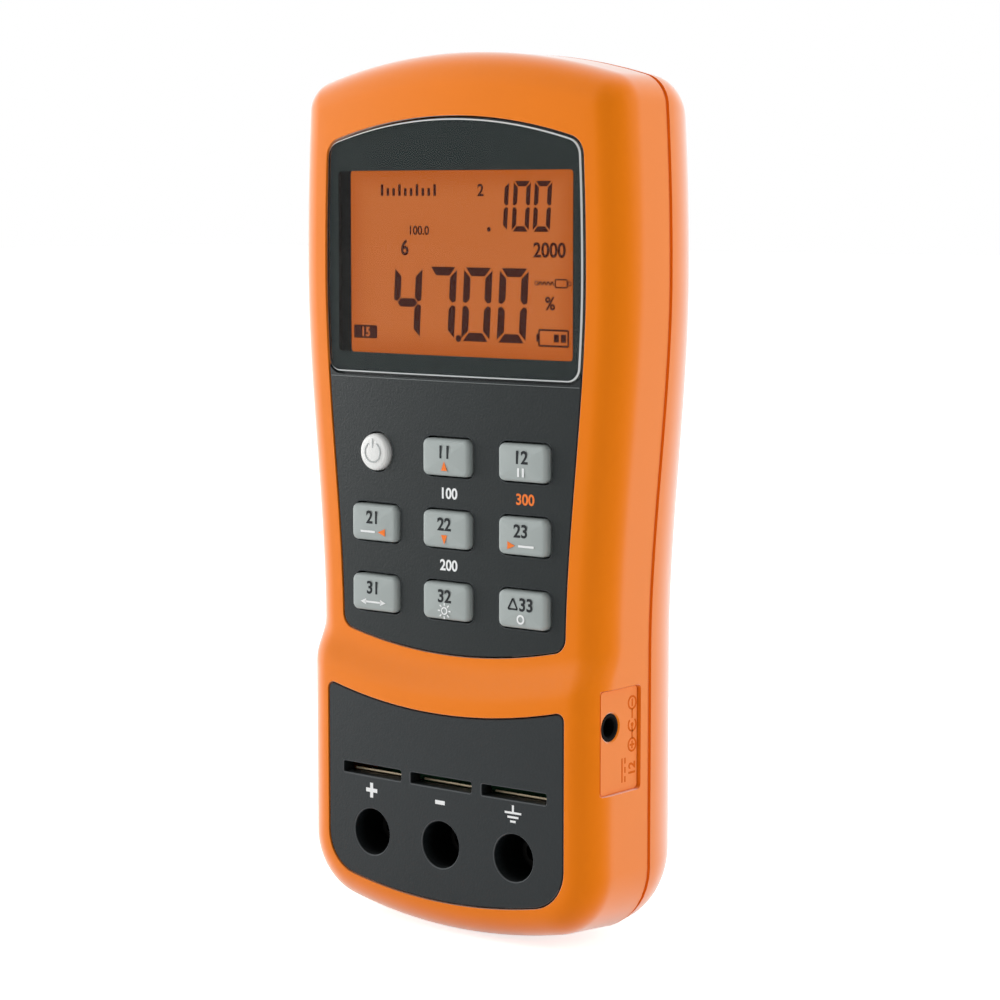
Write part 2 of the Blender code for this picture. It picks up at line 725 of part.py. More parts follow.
# Places that follow from the sizes above.
KEY_BACK = PANEL_DEPTH - PANEL_RECESS + CLEARANCE + KEY_RIM_THICKNESS
Y_DOMES = Y_PANEL + KEY_BACK + bow(KEY_PITCH_X) + KEY_TRAVEL + CLEARANCE
Y_MAT = Y_DOMES + DOME_HEIGHT
Y_BOARD = Y_MAT + MAT_THICKNESS + CLEARANCE
Y_BOARD_BACK = Y_BOARD + BOARD_THICKNESS
GLASS_WIDTH = VIEW_WIDTH + 2 * GLASS_BORDER_X
GLASS_HEIGHT = VIEW_HEIGHT + 2 * GLASS_BORDER_Z
FRAME_WIDTH = GLASS_WIDTH + 2 * (CLEARANCE + FRAME_WALL)
FRAME_HEIGHT = GLASS_HEIGHT + 2 * (CLEARANCE + FRAME_WALL)
Y_GLASS = Y_PANEL_BACK + bow(FRAME_WIDTH / 2) + CLEARANCE
Y_LIGHT = Y_GLASS + GLASS_THICKNESS + CLEARANCE
Y_STACK_BACK = Y_BOARD - CLEARANCE
Y_JACK_FRONT = Y_TERMINAL_BACK + bow(GRIP_WIDTH / 2 - TERMINAL_MARGIN + FLANGE_WIDTH) + CLEARANCE
Y_JACK = Y_JACK_FRONT + JACK_BODY / 2
X_JACK = wall_x(JACK_Z) - fillet_draw(Y_JACK_FRONT, JACK_Z) - CLEARANCE
Y_COVER = Y_BACK - COVER_THICKNESS
Y_BAY = Y_COVER - CLEARANCE - BATTERY_DEPTH - CLEARANCE
BAY_WIDTH = BATTERY_WIDTH + 2 * CLEARANCE
BAY_LENGTH = BATTERY_LENGTH + STUD_HEIGHT + CONTACT_BLOCK_HEIGHT + 3 * CLEARANCE
BAY_TOP_Z = BAY_FOOT_Z + BAY_LENGTH
COVER_WIDTH = BAY_WIDTH + 2 * COVER_LEDGE
COVER_FOOT_Z = BAY_FOOT_Z - COVER_LEDGE
COVER_TOP_Z = BAY_TOP_Z + COVER_HEADROOM
COVER_SCREW_Z = COVER_TOP_Z - COVER_SCREW_INSET
STAND_INNER_X = COVER_WIDTH / 2 + CLEARANCE + STAND_GAP + CLEARANCE
STAND_OUTER_X = STAND_INNER_X + STAND_LEG
STAND_HINGE_Z = COVER_TOP_Z + STAND_HINGE_GAP
STAND_FOOT_TOP_Z = COVER_FOOT_Z - 2 * CLEARANCE - STAND_GAP
STAND_FOOT_Z = STAND_FOOT_TOP_Z - STAND_FOOT
Y_STAND = Y_BACK - STAND_THICKNESS
Y_HINGE = Y_STAND + STAND_KNUCKLE / 2
POST_PLACES = [
    (side * x, z)
    for x, z in (
        (POST_X, (KEY_TOP_ROW_Z + KEY_HEIGHT / 2 + VIEW_Z - FRAME_HEIGHT / 2) / 2),
        (KEY_PITCH_X / 2, PANEL_FOOT_Z + POST_FOOT_GAP),
    )
    for side in (1, -1)
]
TERMINAL_COLUMNS = {"left": -SOCKET_PITCH, "centre": 0.0, "right": SOCKET_PITCH}
KEY_ROWS = (
    ("key_power", "key_up", "key_hold"),
    ("key_left", "key_down", "key_right"),
    ("key_mode", "key_light", "key_zero"),
)


def key_outline(name: str, growth: float = 0.0) -> list[tuple[float, float]]:
    """Outline of a key's cap, grown by an amount."""
    if name == "key_power":
        return circle(POWER_KEY_DIAMETER + 2 * growth)
    return rounded_rectangle(KEY_WIDTH + 2 * growth, KEY_HEIGHT + 2 * growth, KEY_CORNER + growth)


def key_places() -> dict[str, tuple[float, float]]:
    """Where each key stands, as x and z."""
    return {
        name: ((column - 1) * KEY_PITCH_X, KEY_TOP_ROW_Z - row * KEY_PITCH_Z)
        for row, names in enumerate(KEY_ROWS)
        for column, name in enumerate(names)
    }


def make_front_case() -> None:
    """Front half: hollow shell with two windows, screw bosses and the inlet's pad and hole."""
    case = skin("front_case", front_rings(0.0)[::-1] + front_rings(WALL), ORANGE)
    bosses = [boss_outline(x, z, BOSS_DIAMETER) for x, z in screw_places()]
    join(case, prisms("front_bosses", bosses, Y_FACE + BOSS_SETBACK, Y_SEAM - CLEARANCE))
    deep = Y_FACE + WALL + bow(SHOULDER_WIDTH / 2) + OVERRUN
    windows = [grown(PANEL, CLEARANCE), grown(TERMINALS, CLEARANCE)]
    cut(case, prisms("front_windows", windows, Y_BLOCK - OVERRUN, deep))
    pilot = circle(SCREW_DIAMETER + 2 * CLEARANCE)
    pilots = [moved(pilot, x, z) for x, z in screw_places()]
    cut(case, prisms("front_pilots", pilots, Y_SEAM - SCREW_REACH - CLEARANCE, Y_SEAM + OVERRUN))
    pad_x = case_half_width(PAD_CENTRE_Z) - PAD_DEPTH
    pad = rounded_rectangle(PAD_WIDTH, PAD_HEIGHT, PAD_CORNER)
    pad_cutter = prisms("inlet_pad", [pad], 0.0, PAD_DEPTH + OVERRUN)
    pad_cutter.rotation_euler = (0.0, 0.0, -math.pi / 2)
    pad_cutter.location = (pad_x, Y_FACE + PAD_SETBACK, PAD_CENTRE_Z)
    cut(case, pad_cutter)
    x_near = wall_x(JACK_Z) - OVERRUN
    cut(case, sideways_rod("inlet_hole", JACK_HOLE, x_near, x_near + WALL + 2 * OVERRUN, Y_JACK, JACK_Z))


def stand_outline(growth: float, headroom: float) -> list[tuple[float, float]]:
    """U-shaped bail, open at the top, grown by a clearance."""
    outer_x, inner_x = STAND_OUTER_X + growth, STAND_INNER_X - growth
    top = STAND_HINGE_Z + headroom
    points = []
    for side in (1, -1):
        steps = range(CORNER_STEPS + 1)
        corner = STAND_CORNER + growth
        bend = [
            (
                side * (outer_x - corner + corner * math.sin(math.pi / 2 * k / CORNER_STEPS)),
                STAND_FOOT_Z - growth + corner - corner * math.cos(math.pi / 2 * k / CORNER_STEPS),
            )
            for k in steps
        ]
        crotch = (side * inner_x, STAND_FOOT_TOP_Z + growth)
        leg = bend + [(side * outer_x, top), (side * inner_x, top), crotch]
        points += leg if side == 1 else list(reversed(leg))
    return points


def make_rear_case() -> None:
    """Rear half: rounded shell with the battery bay, the stand's channel and screw wells."""
    case = skin("rear_case", rear_rings(0.0, 0.0), ORANGE)
    hollow = skin("rear_hollow", rear_rings(WALL, OVERRUN))
    wells = [boss_outline(x, z, WELL_BOSS_DIAMETER) for x, z in screw_places()]
    cut(hollow, prisms("well_bosses", wells, Y_SEAM - 2 * OVERRUN, Y_BACK + OVERRUN))
    rim = STAND_OUTER_X + CLEARANCE + STAND_PEG_LENGTH + STAND_FLOOR
    y_floor = Y_STAND - CLEARANCE - STAND_FLOOR
    swing_top = STAND_HINGE_Z + STAND_SWING_ROOM
    cut(hollow, box("stand_bed", (-rim, y_floor, 0.0), (rim, Y_BACK + OVERRUN, swing_top + STAND_FLOOR)))
    bay_x = BAY_WIDTH / 2 + BAY_WALL
    cut(
        hollow,
        box("bay_block", (-bay_x, Y_BAY - BAY_WALL, BAY_FOOT_Z - BAY_WALL), (bay_x, Y_BACK, COVER_TOP_Z)),
    )
    bay_floor = box(
        "bay_floor", (-bay_x, Y_BAY - BAY_WALL, BAY_FOOT_Z - BAY_WALL), (bay_x, Y_STAND, COVER_TOP_Z)
    )
    cut(case, hollow)
    join(case, bay_floor)
    cut(
        case,
        box(
            "battery_bay",
            (-BAY_WIDTH / 2, Y_BAY, BAY_FOOT_Z),
            (BAY_WIDTH / 2, Y_BACK + OVERRUN, BAY_TOP_Z),
        ),
        prisms("cover_seat", [cover_outline(CLEARANCE)], Y_COVER - CLEARANCE, Y_BACK + OVERRUN),
        prisms(
            "stand_channel",
            [stand_outline(CLEARANCE, STAND_SWING_ROOM)],
            Y_STAND - CLEARANCE,
            Y_BACK + OVERRUN,
        ),
    )
    peg_reach = STAND_OUTER_X + STAND_PEG_LENGTH + CLEARANCE
    cut(
        case,
        sideways_rod("peg_holes", STAND_PEG + 2 * CLEARANCE, -peg_reach, peg_reach, Y_HINGE, STAND_HINGE_Z),
    )
    notch = moved(circle(THUMB_NOTCH), 0.0, STAND_FOOT_Z)
    cut(case, prisms("thumb_notch", [notch], Y_STAND - CLEARANCE, Y_BACK + OVERRUN))
    y_seat = Y_SEAM + CLEARANCE + SCREW_SEAT
    heads = [moved(circle(SCREW_HEAD + 2 * CLEARANCE), x, z) for x, z in screw_places()]
    holes = [moved(circle(SCREW_DIAMETER + 2 * CLEARANCE), x, z) for x, z in screw_places()]
    cut(case, prisms("screw_wells", heads, y_seat, Y_BACK + OVERRUN))
    cut(case, prisms("screw_holes", holes, Y_SEAM - OVERRUN, y_seat + OVERRUN))
    pilot = moved(circle(COVER_SCREW_DIAMETER + 2 * CLEARANCE), 0.0, COVER_SCREW_Z)
    cut(case, prisms("cover_pilot", [pilot], Y_COVER - COVER_SCREW_REACH - CLEARANCE, Y_BACK))


def cover_outline(growth: float) -> list[tuple[float, float]]:
    """Battery cover's outline, grown by a clearance."""
    height = COVER_TOP_Z - COVER_FOOT_Z + 2 * growth
    shape = rounded_rectangle(COVER_WIDTH + 2 * growth, height, COVER_CORNER + growth)
    return moved(shape, 0.0, (COVER_TOP_Z + COVER_FOOT_Z) / 2)


def make_battery_bay() -> None:
    """Battery, the contacts it snaps onto, and the cover with its screw."""
    y_low, y_high = Y_BAY + CLEARANCE, Y_BAY + CLEARANCE + BATTERY_DEPTH
    z_low = BAY_FOOT_Z + CLEARANCE
    z_high = z_low + BATTERY_LENGTH
    half = BATTERY_WIDTH / 2
    battery = box("battery", (-half, y_low, z_low), (half, y_high, z_high), BATTERY_WRAP)
    edges = battery.modifiers.new("rounded edges", "BEVEL")
    edges.width = BATTERY_EDGE
    edges.segments = 2
    y_mid = (y_low + y_high) / 2
    for side, label in ((-1, "left"), (1, "right")):
        bm = bmesh.new()
        height = STUD_HEIGHT + BATTERY_EDGE
        middle = z_high - BATTERY_EDGE + height / 2
        bmesh.ops.create_cone(
            bm, cap_ends=True, segments=TURN_STEPS, radius1=STUD_DIAMETER / 2, radius2=STUD_DIAMETER / 2,
            depth=height, matrix=Matrix.Translation((side * STUD_PITCH / 2, y_mid, middle)),
        )
        join(battery, add(f"stud_{label}", bm, None))
    block_low = z_high + STUD_HEIGHT + CLEARANCE
    box(
        "battery_contacts",
        (-CONTACT_BLOCK_WIDTH / 2, y_mid - CONTACT_BLOCK_DEPTH / 2, block_low),
        (CONTACT_BLOCK_WIDTH / 2, y_mid + CONTACT_BLOCK_DEPTH / 2, block_low + CONTACT_BLOCK_HEIGHT),
        BLACK_PLASTIC,
    )
    cover = skin("battery_cover", rear_rings(0.0, 0.0), ORANGE)
    keep_within(cover, prisms("cover_edge", [cover_outline(0.0)], Y_COVER, Y_BACK + OVERRUN))
    hole = moved(circle(COVER_SCREW_DIAMETER + 2 * CLEARANCE), 0.0, COVER_SCREW_Z)
    well = moved(circle(COVER_SCREW_HEAD + 2 * CLEARANCE), 0.0, COVER_SCREW_Z)
    y_head = Y_BACK - COVER_SCREW_HEAD_HEIGHT - CLEARANCE
    cut(cover, prisms("cover_screw_hole", [hole], Y_COVER - OVERRUN, Y_BACK + OVERRUN))
    cut(cover, prisms("cover_screw_well", [well], y_head, Y_BACK + OVERRUN))
    length = COVER_SCREW_REACH + COVER_THICKNESS - COVER_SCREW_HEAD_HEIGHT - 2 * CLEARANCE
    fastener = screw(
        "battery_cover_screw", COVER_SCREW_HEAD, COVER_SCREW_HEAD_HEIGHT, COVER_SCREW_DIAMETER, length
    )
    fastener.rotation_euler = (-math.pi / 2, 0.0, 0.0)
    fastener.location = (0.0, y_head + CLEARANCE, COVER_SCREW_Z)


def make_tilt_stand() -> None:
    """Bail flush with the back, with round knuckles and a peg at the end of each leg."""
    stand = skin("tilt_stand", rear_rings(0.0, 0.0), DARK_PANEL)
    keep_within(stand, prisms("stand_edge", [stand_outline(0.0, 0.0)], Y_STAND, Y_BACK + OVERRUN))
    peg_end = STAND_OUTER_X + STAND_PEG_LENGTH
    for side, label in ((1, "right"), (-1, "left")):
        join(
            stand,
            sideways_rod(
                f"knuckle_{label}", STAND_KNUCKLE, side * STAND_INNER_X, side * STAND_OUTER_X,
                Y_HINGE, STAND_HINGE_Z,
            ),
            sideways_rod(
                f"peg_{label}", STAND_PEG, side * (STAND_INNER_X + STAND_LEG / 2), side * peg_end,
                Y_HINGE, STAND_HINGE_Z,
            ),
        )
    put_origin(stand, Vector((0.0, Y_HINGE, STAND_HINGE_Z)))


def make_case_screws() -> None:
    """Four screws that join the halves from the back."""
    y_seat = Y_SEAM + CLEARANCE + SCREW_SEAT + CLEARANCE
    for number, (x, z) in enumerate(screw_places(), start=1):
        length = y_seat - Y_SEAM + SCREW_REACH
        fastener = screw(f"case_screw_{number}", SCREW_HEAD, SCREW_HEAD_HEIGHT, SCREW_DIAMETER, length)
        fastener.rotation_euler = (-math.pi / 2, 0.0, 0.0)
        fastener.location = (x, y_seat, z)


def make_keypad_panel() -> None:
    """Upper panel: bowed plate with a flange, lens seat, view window, key holes and board posts."""
    y_flange = Y_PANEL_BACK - FLANGE_THICKNESS
    y_inside = Y_PANEL_BACK - FLANGE_THICKNESS / 2
    panel = plate("keypad_panel", grown(PANEL, FLANGE_WIDTH), y_flange, Y_PANEL_BACK, DARK_PANEL)
    join(panel, plate("panel_face", grown(PANEL, 0.0), Y_PANEL, y_inside))
    posts = [moved(circle(POST_DIAMETER, TURN_STEPS), x, z) for x, z in POST_PLACES]
    join(panel, prisms("panel_posts", posts, y_inside, Y_BOARD - CLEARANCE))
    floor = Y_PANEL - LENS_PROUD + LENS_THICKNESS + CLEARANCE
    cut(panel, plate("lens_seat", grown(LENS, LENS_MARGIN + CLEARANCE), Y_PANEL - OVERRUN, floor))
    view = moved(rounded_rectangle(VIEW_WIDTH, VIEW_HEIGHT, VIEW_CORNER), 0.0, VIEW_Z)
    holes = [moved(key_outline(name, CLEARANCE), x, z) for name, (x, z) in key_places().items()]
    cut(panel, prisms("panel_holes", [view] + holes, Y_PANEL - OVERRUN, Y_BOARD))
    pilot = circle(BOARD_SCREW_DIAMETER + 2 * CLEARANCE, TURN_STEPS)
    pilots = [moved(pilot, x, z) for x, z in POST_PLACES]
    cut(panel, prisms("post_pilots", pilots, Y_BOARD - BOARD_SCREW_GRIP - 2 * CLEARANCE, Y_BOARD + OVERRUN))


def make_display() -> None:
    """Lens, glass, light, holder frame and the two rubber contact strips."""
    y_lens = Y_PANEL - LENS_PROUD
    plate("display_lens", grown(LENS, 0.0), y_lens, y_lens + LENS_THICKNESS, LENS_CLEAR)
    half_x, half_z = GLASS_WIDTH / 2, GLASS_HEIGHT / 2
    box(
        "lcd_glass", (-half_x, Y_GLASS, VIEW_Z - half_z),
        (half_x, Y_GLASS + GLASS_THICKNESS, VIEW_Z + half_z), AMBER,
    )
    light_z = half_z - STRIP_THICKNESS - CLEARANCE
    low, high = (-half_x, Y_LIGHT, VIEW_Z - light_z), (half_x, Y_STACK_BACK, VIEW_Z + light_z)
    box("backlight", low, high, WHITE_PLASTIC)
    for label, side in (("upper", 1), ("lower", -1)):
        middle = VIEW_Z + side * (half_z - STRIP_THICKNESS / 2)
        box(
            f"zebra_strip_{label}", (-half_x, Y_LIGHT, middle - STRIP_THICKNESS / 2),
            (half_x, Y_STACK_BACK, middle + STRIP_THICKNESS / 2), ELASTOMER,
        )
    frame = prisms(
        "lcd_frame", [moved(rounded_rectangle(FRAME_WIDTH, FRAME_HEIGHT, FRAME_WALL), 0.0, VIEW_Z)],
        Y_GLASS, Y_STACK_BACK, WHITE_PLASTIC,
    )
    inner_x, inner_z = half_x + CLEARANCE, half_z + CLEARANCE
    cut(
        frame,
        box(
            "frame_window", (-inner_x, Y_GLASS - OVERRUN, VIEW_Z - inner_z),
            (inner_x, Y_STACK_BACK + OVERRUN, VIEW_Z + inner_z),
        ),
    )


def make_keys() -> None:
    """Nine caps, each with a rim behind the panel, and the elastomer mat under them."""
    rim_front = KEY_BACK - KEY_RIM_THICKNESS
    for name, (x, z) in key_places().items():
        finish = KEY_PALE if name == "key_power" else KEY_GREY
        sections = [
            (key_outline(name, KEY_RIM), KEY_BACK),
            (key_outline(name, KEY_RIM), rim_front),
            (key_outline(name), rim_front),
            (key_outline(name), KEY_EDGE - KEY_PROUD),
            (key_outline(name, -KEY_EDGE_FALL), KEY_EDGE_FALL - KEY_PROUD),
            (key_outline(name, -KEY_EDGE), -KEY_PROUD),
        ]
        stack(name, sections, finish).location = (x, Y_PANEL + bow(x), z)
    low_z = KEY_TOP_ROW_Z - (len(KEY_ROWS) - 1) * KEY_PITCH_Z - KEY_HEIGHT / 2 - KEY_RIM
    high_z = KEY_TOP_ROW_Z + KEY_HEIGHT / 2 + KEY_RIM
    width = 2 * KEY_PITCH_X + KEY_WIDTH + 2 * MAT_MARGIN
    sheet = moved(rounded_rectangle(width, high_z - low_z, MAT_MARGIN), 0.0, (low_z + high_z) / 2)
    mat = prisms("keypad_mat", [sheet], Y_MAT, Y_MAT + MAT_THICKNESS, ELASTOMER)
    bm = bmesh.new()
    for x, z in key_places().values():
        height = DOME_HEIGHT + MAT_THICKNESS / 2
        matrix = Matrix.Translation((x, Y_DOMES + height / 2, z)) @ Matrix.Rotation(math.pi / 2, 4, "X")
        bmesh.ops.create_cone(
            bm, cap_ends=True, segments=HOLE_STEPS // 2, radius1=DOME_DIAMETER / 2,
            radius2=DOME_DIAMETER / 2 - DOME_HEIGHT, depth=height, matrix=matrix,
        )
    join(mat, add("mat_domes", bm, None))
    room = [moved(circle(POST_DIAMETER + 4 * CLEARANCE, TURN_STEPS), x, z) for x, z in POST_PLACES]
    cut(mat, prisms("mat_room", room, Y_MAT - OVERRUN, Y_BOARD))


def make_board() -> None:
    """Circuit board with its chip, buzzer and four screws into the panel's posts."""
    board = prisms("main_pcb", [grown(BOARD, 0.0)], Y_BOARD, Y_BOARD_BACK, BOARD_GREEN)
    holes = [moved(circle(BOARD_SCREW_DIAMETER + 2 * CLEARANCE, TURN_STEPS), x, z) for x, z in POST_PLACES]
    contact = circle(CONTACT_DIAMETER + 2 * CLEARANCE, TURN_STEPS)
    holes += [moved(contact, x, SOCKET_Z) for x in TERMINAL_COLUMNS.values()]
    cut(board, prisms("board_holes", holes, Y_BOARD - OVERRUN, Y_BOARD_BACK + OVERRUN))
    y_part = Y_BOARD_BACK + CLEARANCE
    half = CHIP_SIDE / 2
    low, high = (-half, y_part, CHIP_Z - half), (half, y_part + CHIP_HEIGHT, CHIP_Z + half)
    box("measuring_chip", low, high, BLACK_PLASTIC)
    disc = moved(circle(BUZZER_DIAMETER), BUZZER_X, BUZZER_Z)
    prisms("buzzer", [disc], y_part, y_part + BUZZER_HEIGHT, BLACK_PLASTIC)
    for number, (x, z) in enumerate(POST_PLACES, start=1):
        fastener = screw(
            f"pcb_screw_{number}", BOARD_SCREW_HEAD, BOARD_SCREW_HEAD_HEIGHT, BOARD_SCREW_DIAMETER,
            BOARD_THICKNESS + 2 * CLEARANCE + BOARD_SCREW_GRIP,
        )
        fastener.rotation_euler = (-math.pi / 2, 0.0, 0.0)
        fastener.location = (x, y_part, z)


def make_terminals() -> None:
    """Lower panel with lead slots and socket cups, its spring strips and its socket contacts."""
    y_flange = Y_TERMINAL_BACK - FLANGE_THICKNESS
    y_inside = Y_TERMINAL_BACK - FLANGE_THICKNESS / 2
    y_face = Y_BLOCK + PANEL_RECESS
    panel = plate("terminal_panel", grown(TERMINALS, FLANGE_WIDTH), y_flange, Y_TERMINAL_BACK, DARK_PANEL)
    join(panel, plate("terminal_face", grown(TERMINALS, 0.0), y_face, y_inside))
    columns = TERMINAL_COLUMNS.values()
    cups = [moved(circle(SOCKET_BORE + 2 * SHROUD_WALL), x, SOCKET_Z) for x in columns]
    y_cup = Y_BOARD - CLEARANCE
    join(panel, prisms("socket_cups", cups, y_inside, y_cup))
    bores = [moved(circle(SOCKET_BORE), x, SOCKET_Z) for x in columns]
    slots = [moved(rounded_rectangle(SLOT_WIDTH, SLOT_HEIGHT, SLOT_CORNER), x, SLOT_Z) for x in columns]
    cut(panel, prisms("socket_bores", bores, y_face - OVERRUN, y_cup - SHROUD_WALL))
    cut(panel, prisms("lead_slots", slots, y_face - OVERRUN, y_cup))
    floors = [moved(circle(CONTACT_DIAMETER + 2 * CLEARANCE), x, SOCKET_Z) for x in columns]
    cut(panel, prisms("cup_floors", floors, y_cup - 2 * SHROUD_WALL, y_cup + OVERRUN))
    front = Y_BOARD - CLEARANCE - SHROUD_WALL - CONTACT_STANDING
    collar = Y_BOARD_BACK + CLEARANCE - front
    bore, tube = CONTACT_BORE / 2, CONTACT_DIAMETER / 2
    profile = [
        (bore, 0.0), (tube, 0.0), (tube, -collar), (CONTACT_COLLAR / 2, -collar),
        (CONTACT_COLLAR / 2, -collar - CONTACT_COLLAR_HEIGHT), (tube, -collar - CONTACT_COLLAR_HEIGHT),
        (tube, -CONTACT_LENGTH), (bore, -CONTACT_LENGTH),
    ]
    y_near = Y_TERMINAL_BACK + bow(SOCKET_PITCH + STRIP_LENGTH / 2) + CLEARANCE
    y_far = Y_BOARD - CLEARANCE - STRIP_METAL
    y_pinch = y_near + (y_far - y_near) / 3
    y_root = y_near + 2 * (y_far - y_near) / 3
    upper = [(y_near, STRIP_MOUTH), (y_pinch, STRIP_PINCH), (y_root, STRIP_MOUTH), (y_far, STRIP_MOUTH)]
    strip = upper + [(y_far, -STRIP_LIP), (y_near, -STRIP_LIP)]
    for label, x in TERMINAL_COLUMNS.items():
        contact = turned(f"banana_socket_{label}", profile, True, BRASS)
        contact.rotation_euler = (math.pi / 2, 0.0, 0.0)
        contact.location = (x, front, SOCKET_Z)
        bm = bmesh.new()
        ends = [
            [bm.verts.new((x + side * STRIP_LENGTH / 2, y, SLOT_Z + z)) for y, z in strip] for side in (-1, 1)
        ]
        for k in range(len(strip) - 1):
            bm.faces.new((ends[0][k], ends[1][k], ends[1][k + 1], ends[0][k + 1]))
        spring = add(f"slot_contact_{label}", bm, STEEL)
        sheet = spring.modifiers.new("sheet", "SOLIDIFY")
        sheet.thickness = STRIP_METAL
        sheet.offset = 0.0


def make_dc_jack() -> None:
    """Power inlet: a moulded body on the board behind the hole, with its centre pin."""
    x_back = X_JACK - JACK_LENGTH
    jack = box(
        "dc_jack", (x_back, Y_JACK_FRONT, JACK_Z - JACK_WIDTH / 2),
        (X_JACK, Y_BOARD - CLEARANCE, JACK_Z + JACK_WIDTH / 2), BLACK_PLASTIC,
    )
    cut(jack, sideways_rod("jack_bore", JACK_BORE, x_back + JACK_BASE, X_JACK + OVERRUN, Y_JACK, JACK_Z))
    pin_hole = JACK_PIN + 2 * CLEARANCE
    cut(jack, sideways_rod("jack_pin_hole", pin_hole, x_back - OVERRUN, X_JACK, Y_JACK, JACK_Z))
    sideways_rod("dc_jack_pin", JACK_PIN, x_back, X_JACK - JACK_PIN_RECESS, Y_JACK, JACK_Z, BRASS)


make_front_case()
make_rear_case()
make_battery_bay()
make_tilt_stand()
make_case_screws()
make_keypad_panel()
make_display()
make_keys()
make_board()
make_terminals()
make_dc_jack()
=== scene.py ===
"""Looks of a handheld component tester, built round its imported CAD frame.

Fine shells, keys, lens, display and prints stand on the CAD pieces in the same frame: metres, +Z up
along the tester, its face along -Y and +X to the reader's right.
"""

import json
import logging
import math
from collections.abc import Callable, Collection, Iterable
from dataclasses import dataclass, field, replace
from enum import Enum
from functools import cache, cached_property, partial

import bmesh
import bpy
from mathutils import Matrix, Vector

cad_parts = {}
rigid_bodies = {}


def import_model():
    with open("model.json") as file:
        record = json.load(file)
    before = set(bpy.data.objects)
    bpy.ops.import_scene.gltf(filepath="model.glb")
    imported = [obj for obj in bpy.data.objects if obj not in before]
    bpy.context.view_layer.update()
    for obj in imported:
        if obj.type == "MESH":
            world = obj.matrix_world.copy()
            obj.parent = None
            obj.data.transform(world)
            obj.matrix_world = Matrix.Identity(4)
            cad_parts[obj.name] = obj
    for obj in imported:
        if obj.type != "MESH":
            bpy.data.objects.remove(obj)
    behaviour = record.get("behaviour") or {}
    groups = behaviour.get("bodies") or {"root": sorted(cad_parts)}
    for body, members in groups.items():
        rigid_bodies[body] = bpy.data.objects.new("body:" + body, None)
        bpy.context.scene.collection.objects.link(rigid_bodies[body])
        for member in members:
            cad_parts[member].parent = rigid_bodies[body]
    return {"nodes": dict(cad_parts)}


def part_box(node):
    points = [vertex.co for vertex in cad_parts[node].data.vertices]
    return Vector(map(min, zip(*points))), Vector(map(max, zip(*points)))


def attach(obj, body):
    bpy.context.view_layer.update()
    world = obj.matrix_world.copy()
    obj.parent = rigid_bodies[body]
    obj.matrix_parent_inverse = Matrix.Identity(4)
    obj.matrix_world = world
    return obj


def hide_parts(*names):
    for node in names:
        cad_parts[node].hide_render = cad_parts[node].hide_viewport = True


LOG = logging.getLogger("tester")

Colour = tuple[float, float, float]
Point = tuple[float, float]
Corner = tuple[float, float, float]
Rings = list[list[Vector]]
Mesh = bmesh.types.BMesh
Piece = bpy.types.Object
Material = bpy.types.Material
Tree = bpy.types.NodeTree
Socket = bpy.types.NodeSocket
Inputs = bpy.types.NodeInputs
Outputs = bpy.types.NodeOutputs
Value = Socket | float | tuple[float, ...]

FIXED_BODY = "case"
STAND_BODY = "stand"
CLEARANCE = 0.0003
WELD = 0.000002
OVERRUN = 0.002
FINE_STEP = 0.0011
COARSE_STEP = 0.005
PRINT_SINK = 0.00002
CHAMFER_TURN = (0.3, 0.95)
FRAME_WELD = 0.00001
FRAME_EDGE = math.radians(30.0)
# Layer Weight blend and power of the painted sheen, a painted reflection where a surface turns away.
PAINTED_SHEEN_BLEND = 0.5
PAINTED_SHEEN_POWER = 3.0
WHITE = (1.0, 1.0, 1.0, 1.0)


def tint(red: int, green: int, blue: int) -> Colour:
    """Turn a screen colour of 0 to 255 into linear light."""
    return tuple(((v / 255 + 0.055) / 1.055) ** 2.4 if v > 10 else v / 3294.6 for v in (red, green, blue))


class Ink(Enum):
    """Colours that the prints use, in the order of their material slots."""

    DARK = 0
    PALE = 1
    ORANGE = 2
    FAINT = 3


class Arrow(Enum):
    """Ways that an arrowhead points, as an angle from +u."""

    RIGHT = 0.0
    UP = math.pi / 2
    LEFT = math.pi
    DOWN = -math.pi / 2


def feed(tree: Tree, target: Socket, value: Value) -> None:
    """Link a socket to another one, or set it to a plain value.

    Args:
        tree: The tree that holds both.
        target: The socket to feed.
        value: What feeds it.
    """
    if isinstance(value, Socket):
        tree.links.new(value, target)
    else:
        target.default_value = value


def calculate(tree: Tree, operation: str, first: Value, second: Value = 0.0, clamp: bool = False) -> Socket:
    """Combine two values.

    Args:
        tree: The tree that gets the node.
        operation: The Math node's operation.
        first: The first value.
        second: The second value, where the operation has one.
        clamp: True holds the result between 0 and 1.

    Returns:
        The result.
    """
    node = tree.nodes.new("ShaderNodeMath")
    node.operation = operation
    node.use_clamp = clamp
    feed(tree, node.inputs[0], first)
    feed(tree, node.inputs[1], second)
    return node.outputs[0]


def blend(tree: Tree, share: Value, first: Value, second: Value) -> Socket:
    """Mix two colours.

    Args:
        tree: The tree that gets the node.
        share: How much of the second one shows.
        first: The first colour.
        second: The second colour.

    Returns:
        The mixed colour.
    """
    mix = tree.nodes.new("ShaderNodeMix")
    mix.data_type = "RGBA"
    for label, value in (("Factor", share), ("A", first), ("B", second)):
        feed(tree, mix.inputs[label], value)
    return mix.outputs["Result"]


def split_axes(tree: Tree, kind: str, label: str) -> Outputs:
    """Split a vector that a node gives into X, Y and Z.

    Args:
        tree: The tree that gets the nodes.
        kind: The type of node that gives the vector.
        label: The vector's name there.

    Returns:
        The outputs X, Y and Z.
    """
    source = tree.nodes.new(kind)
    split = tree.nodes.new("ShaderNodeSeparateXYZ")
    tree.links.new(source.outputs[label], split.inputs["Vector"])
    return split.outputs


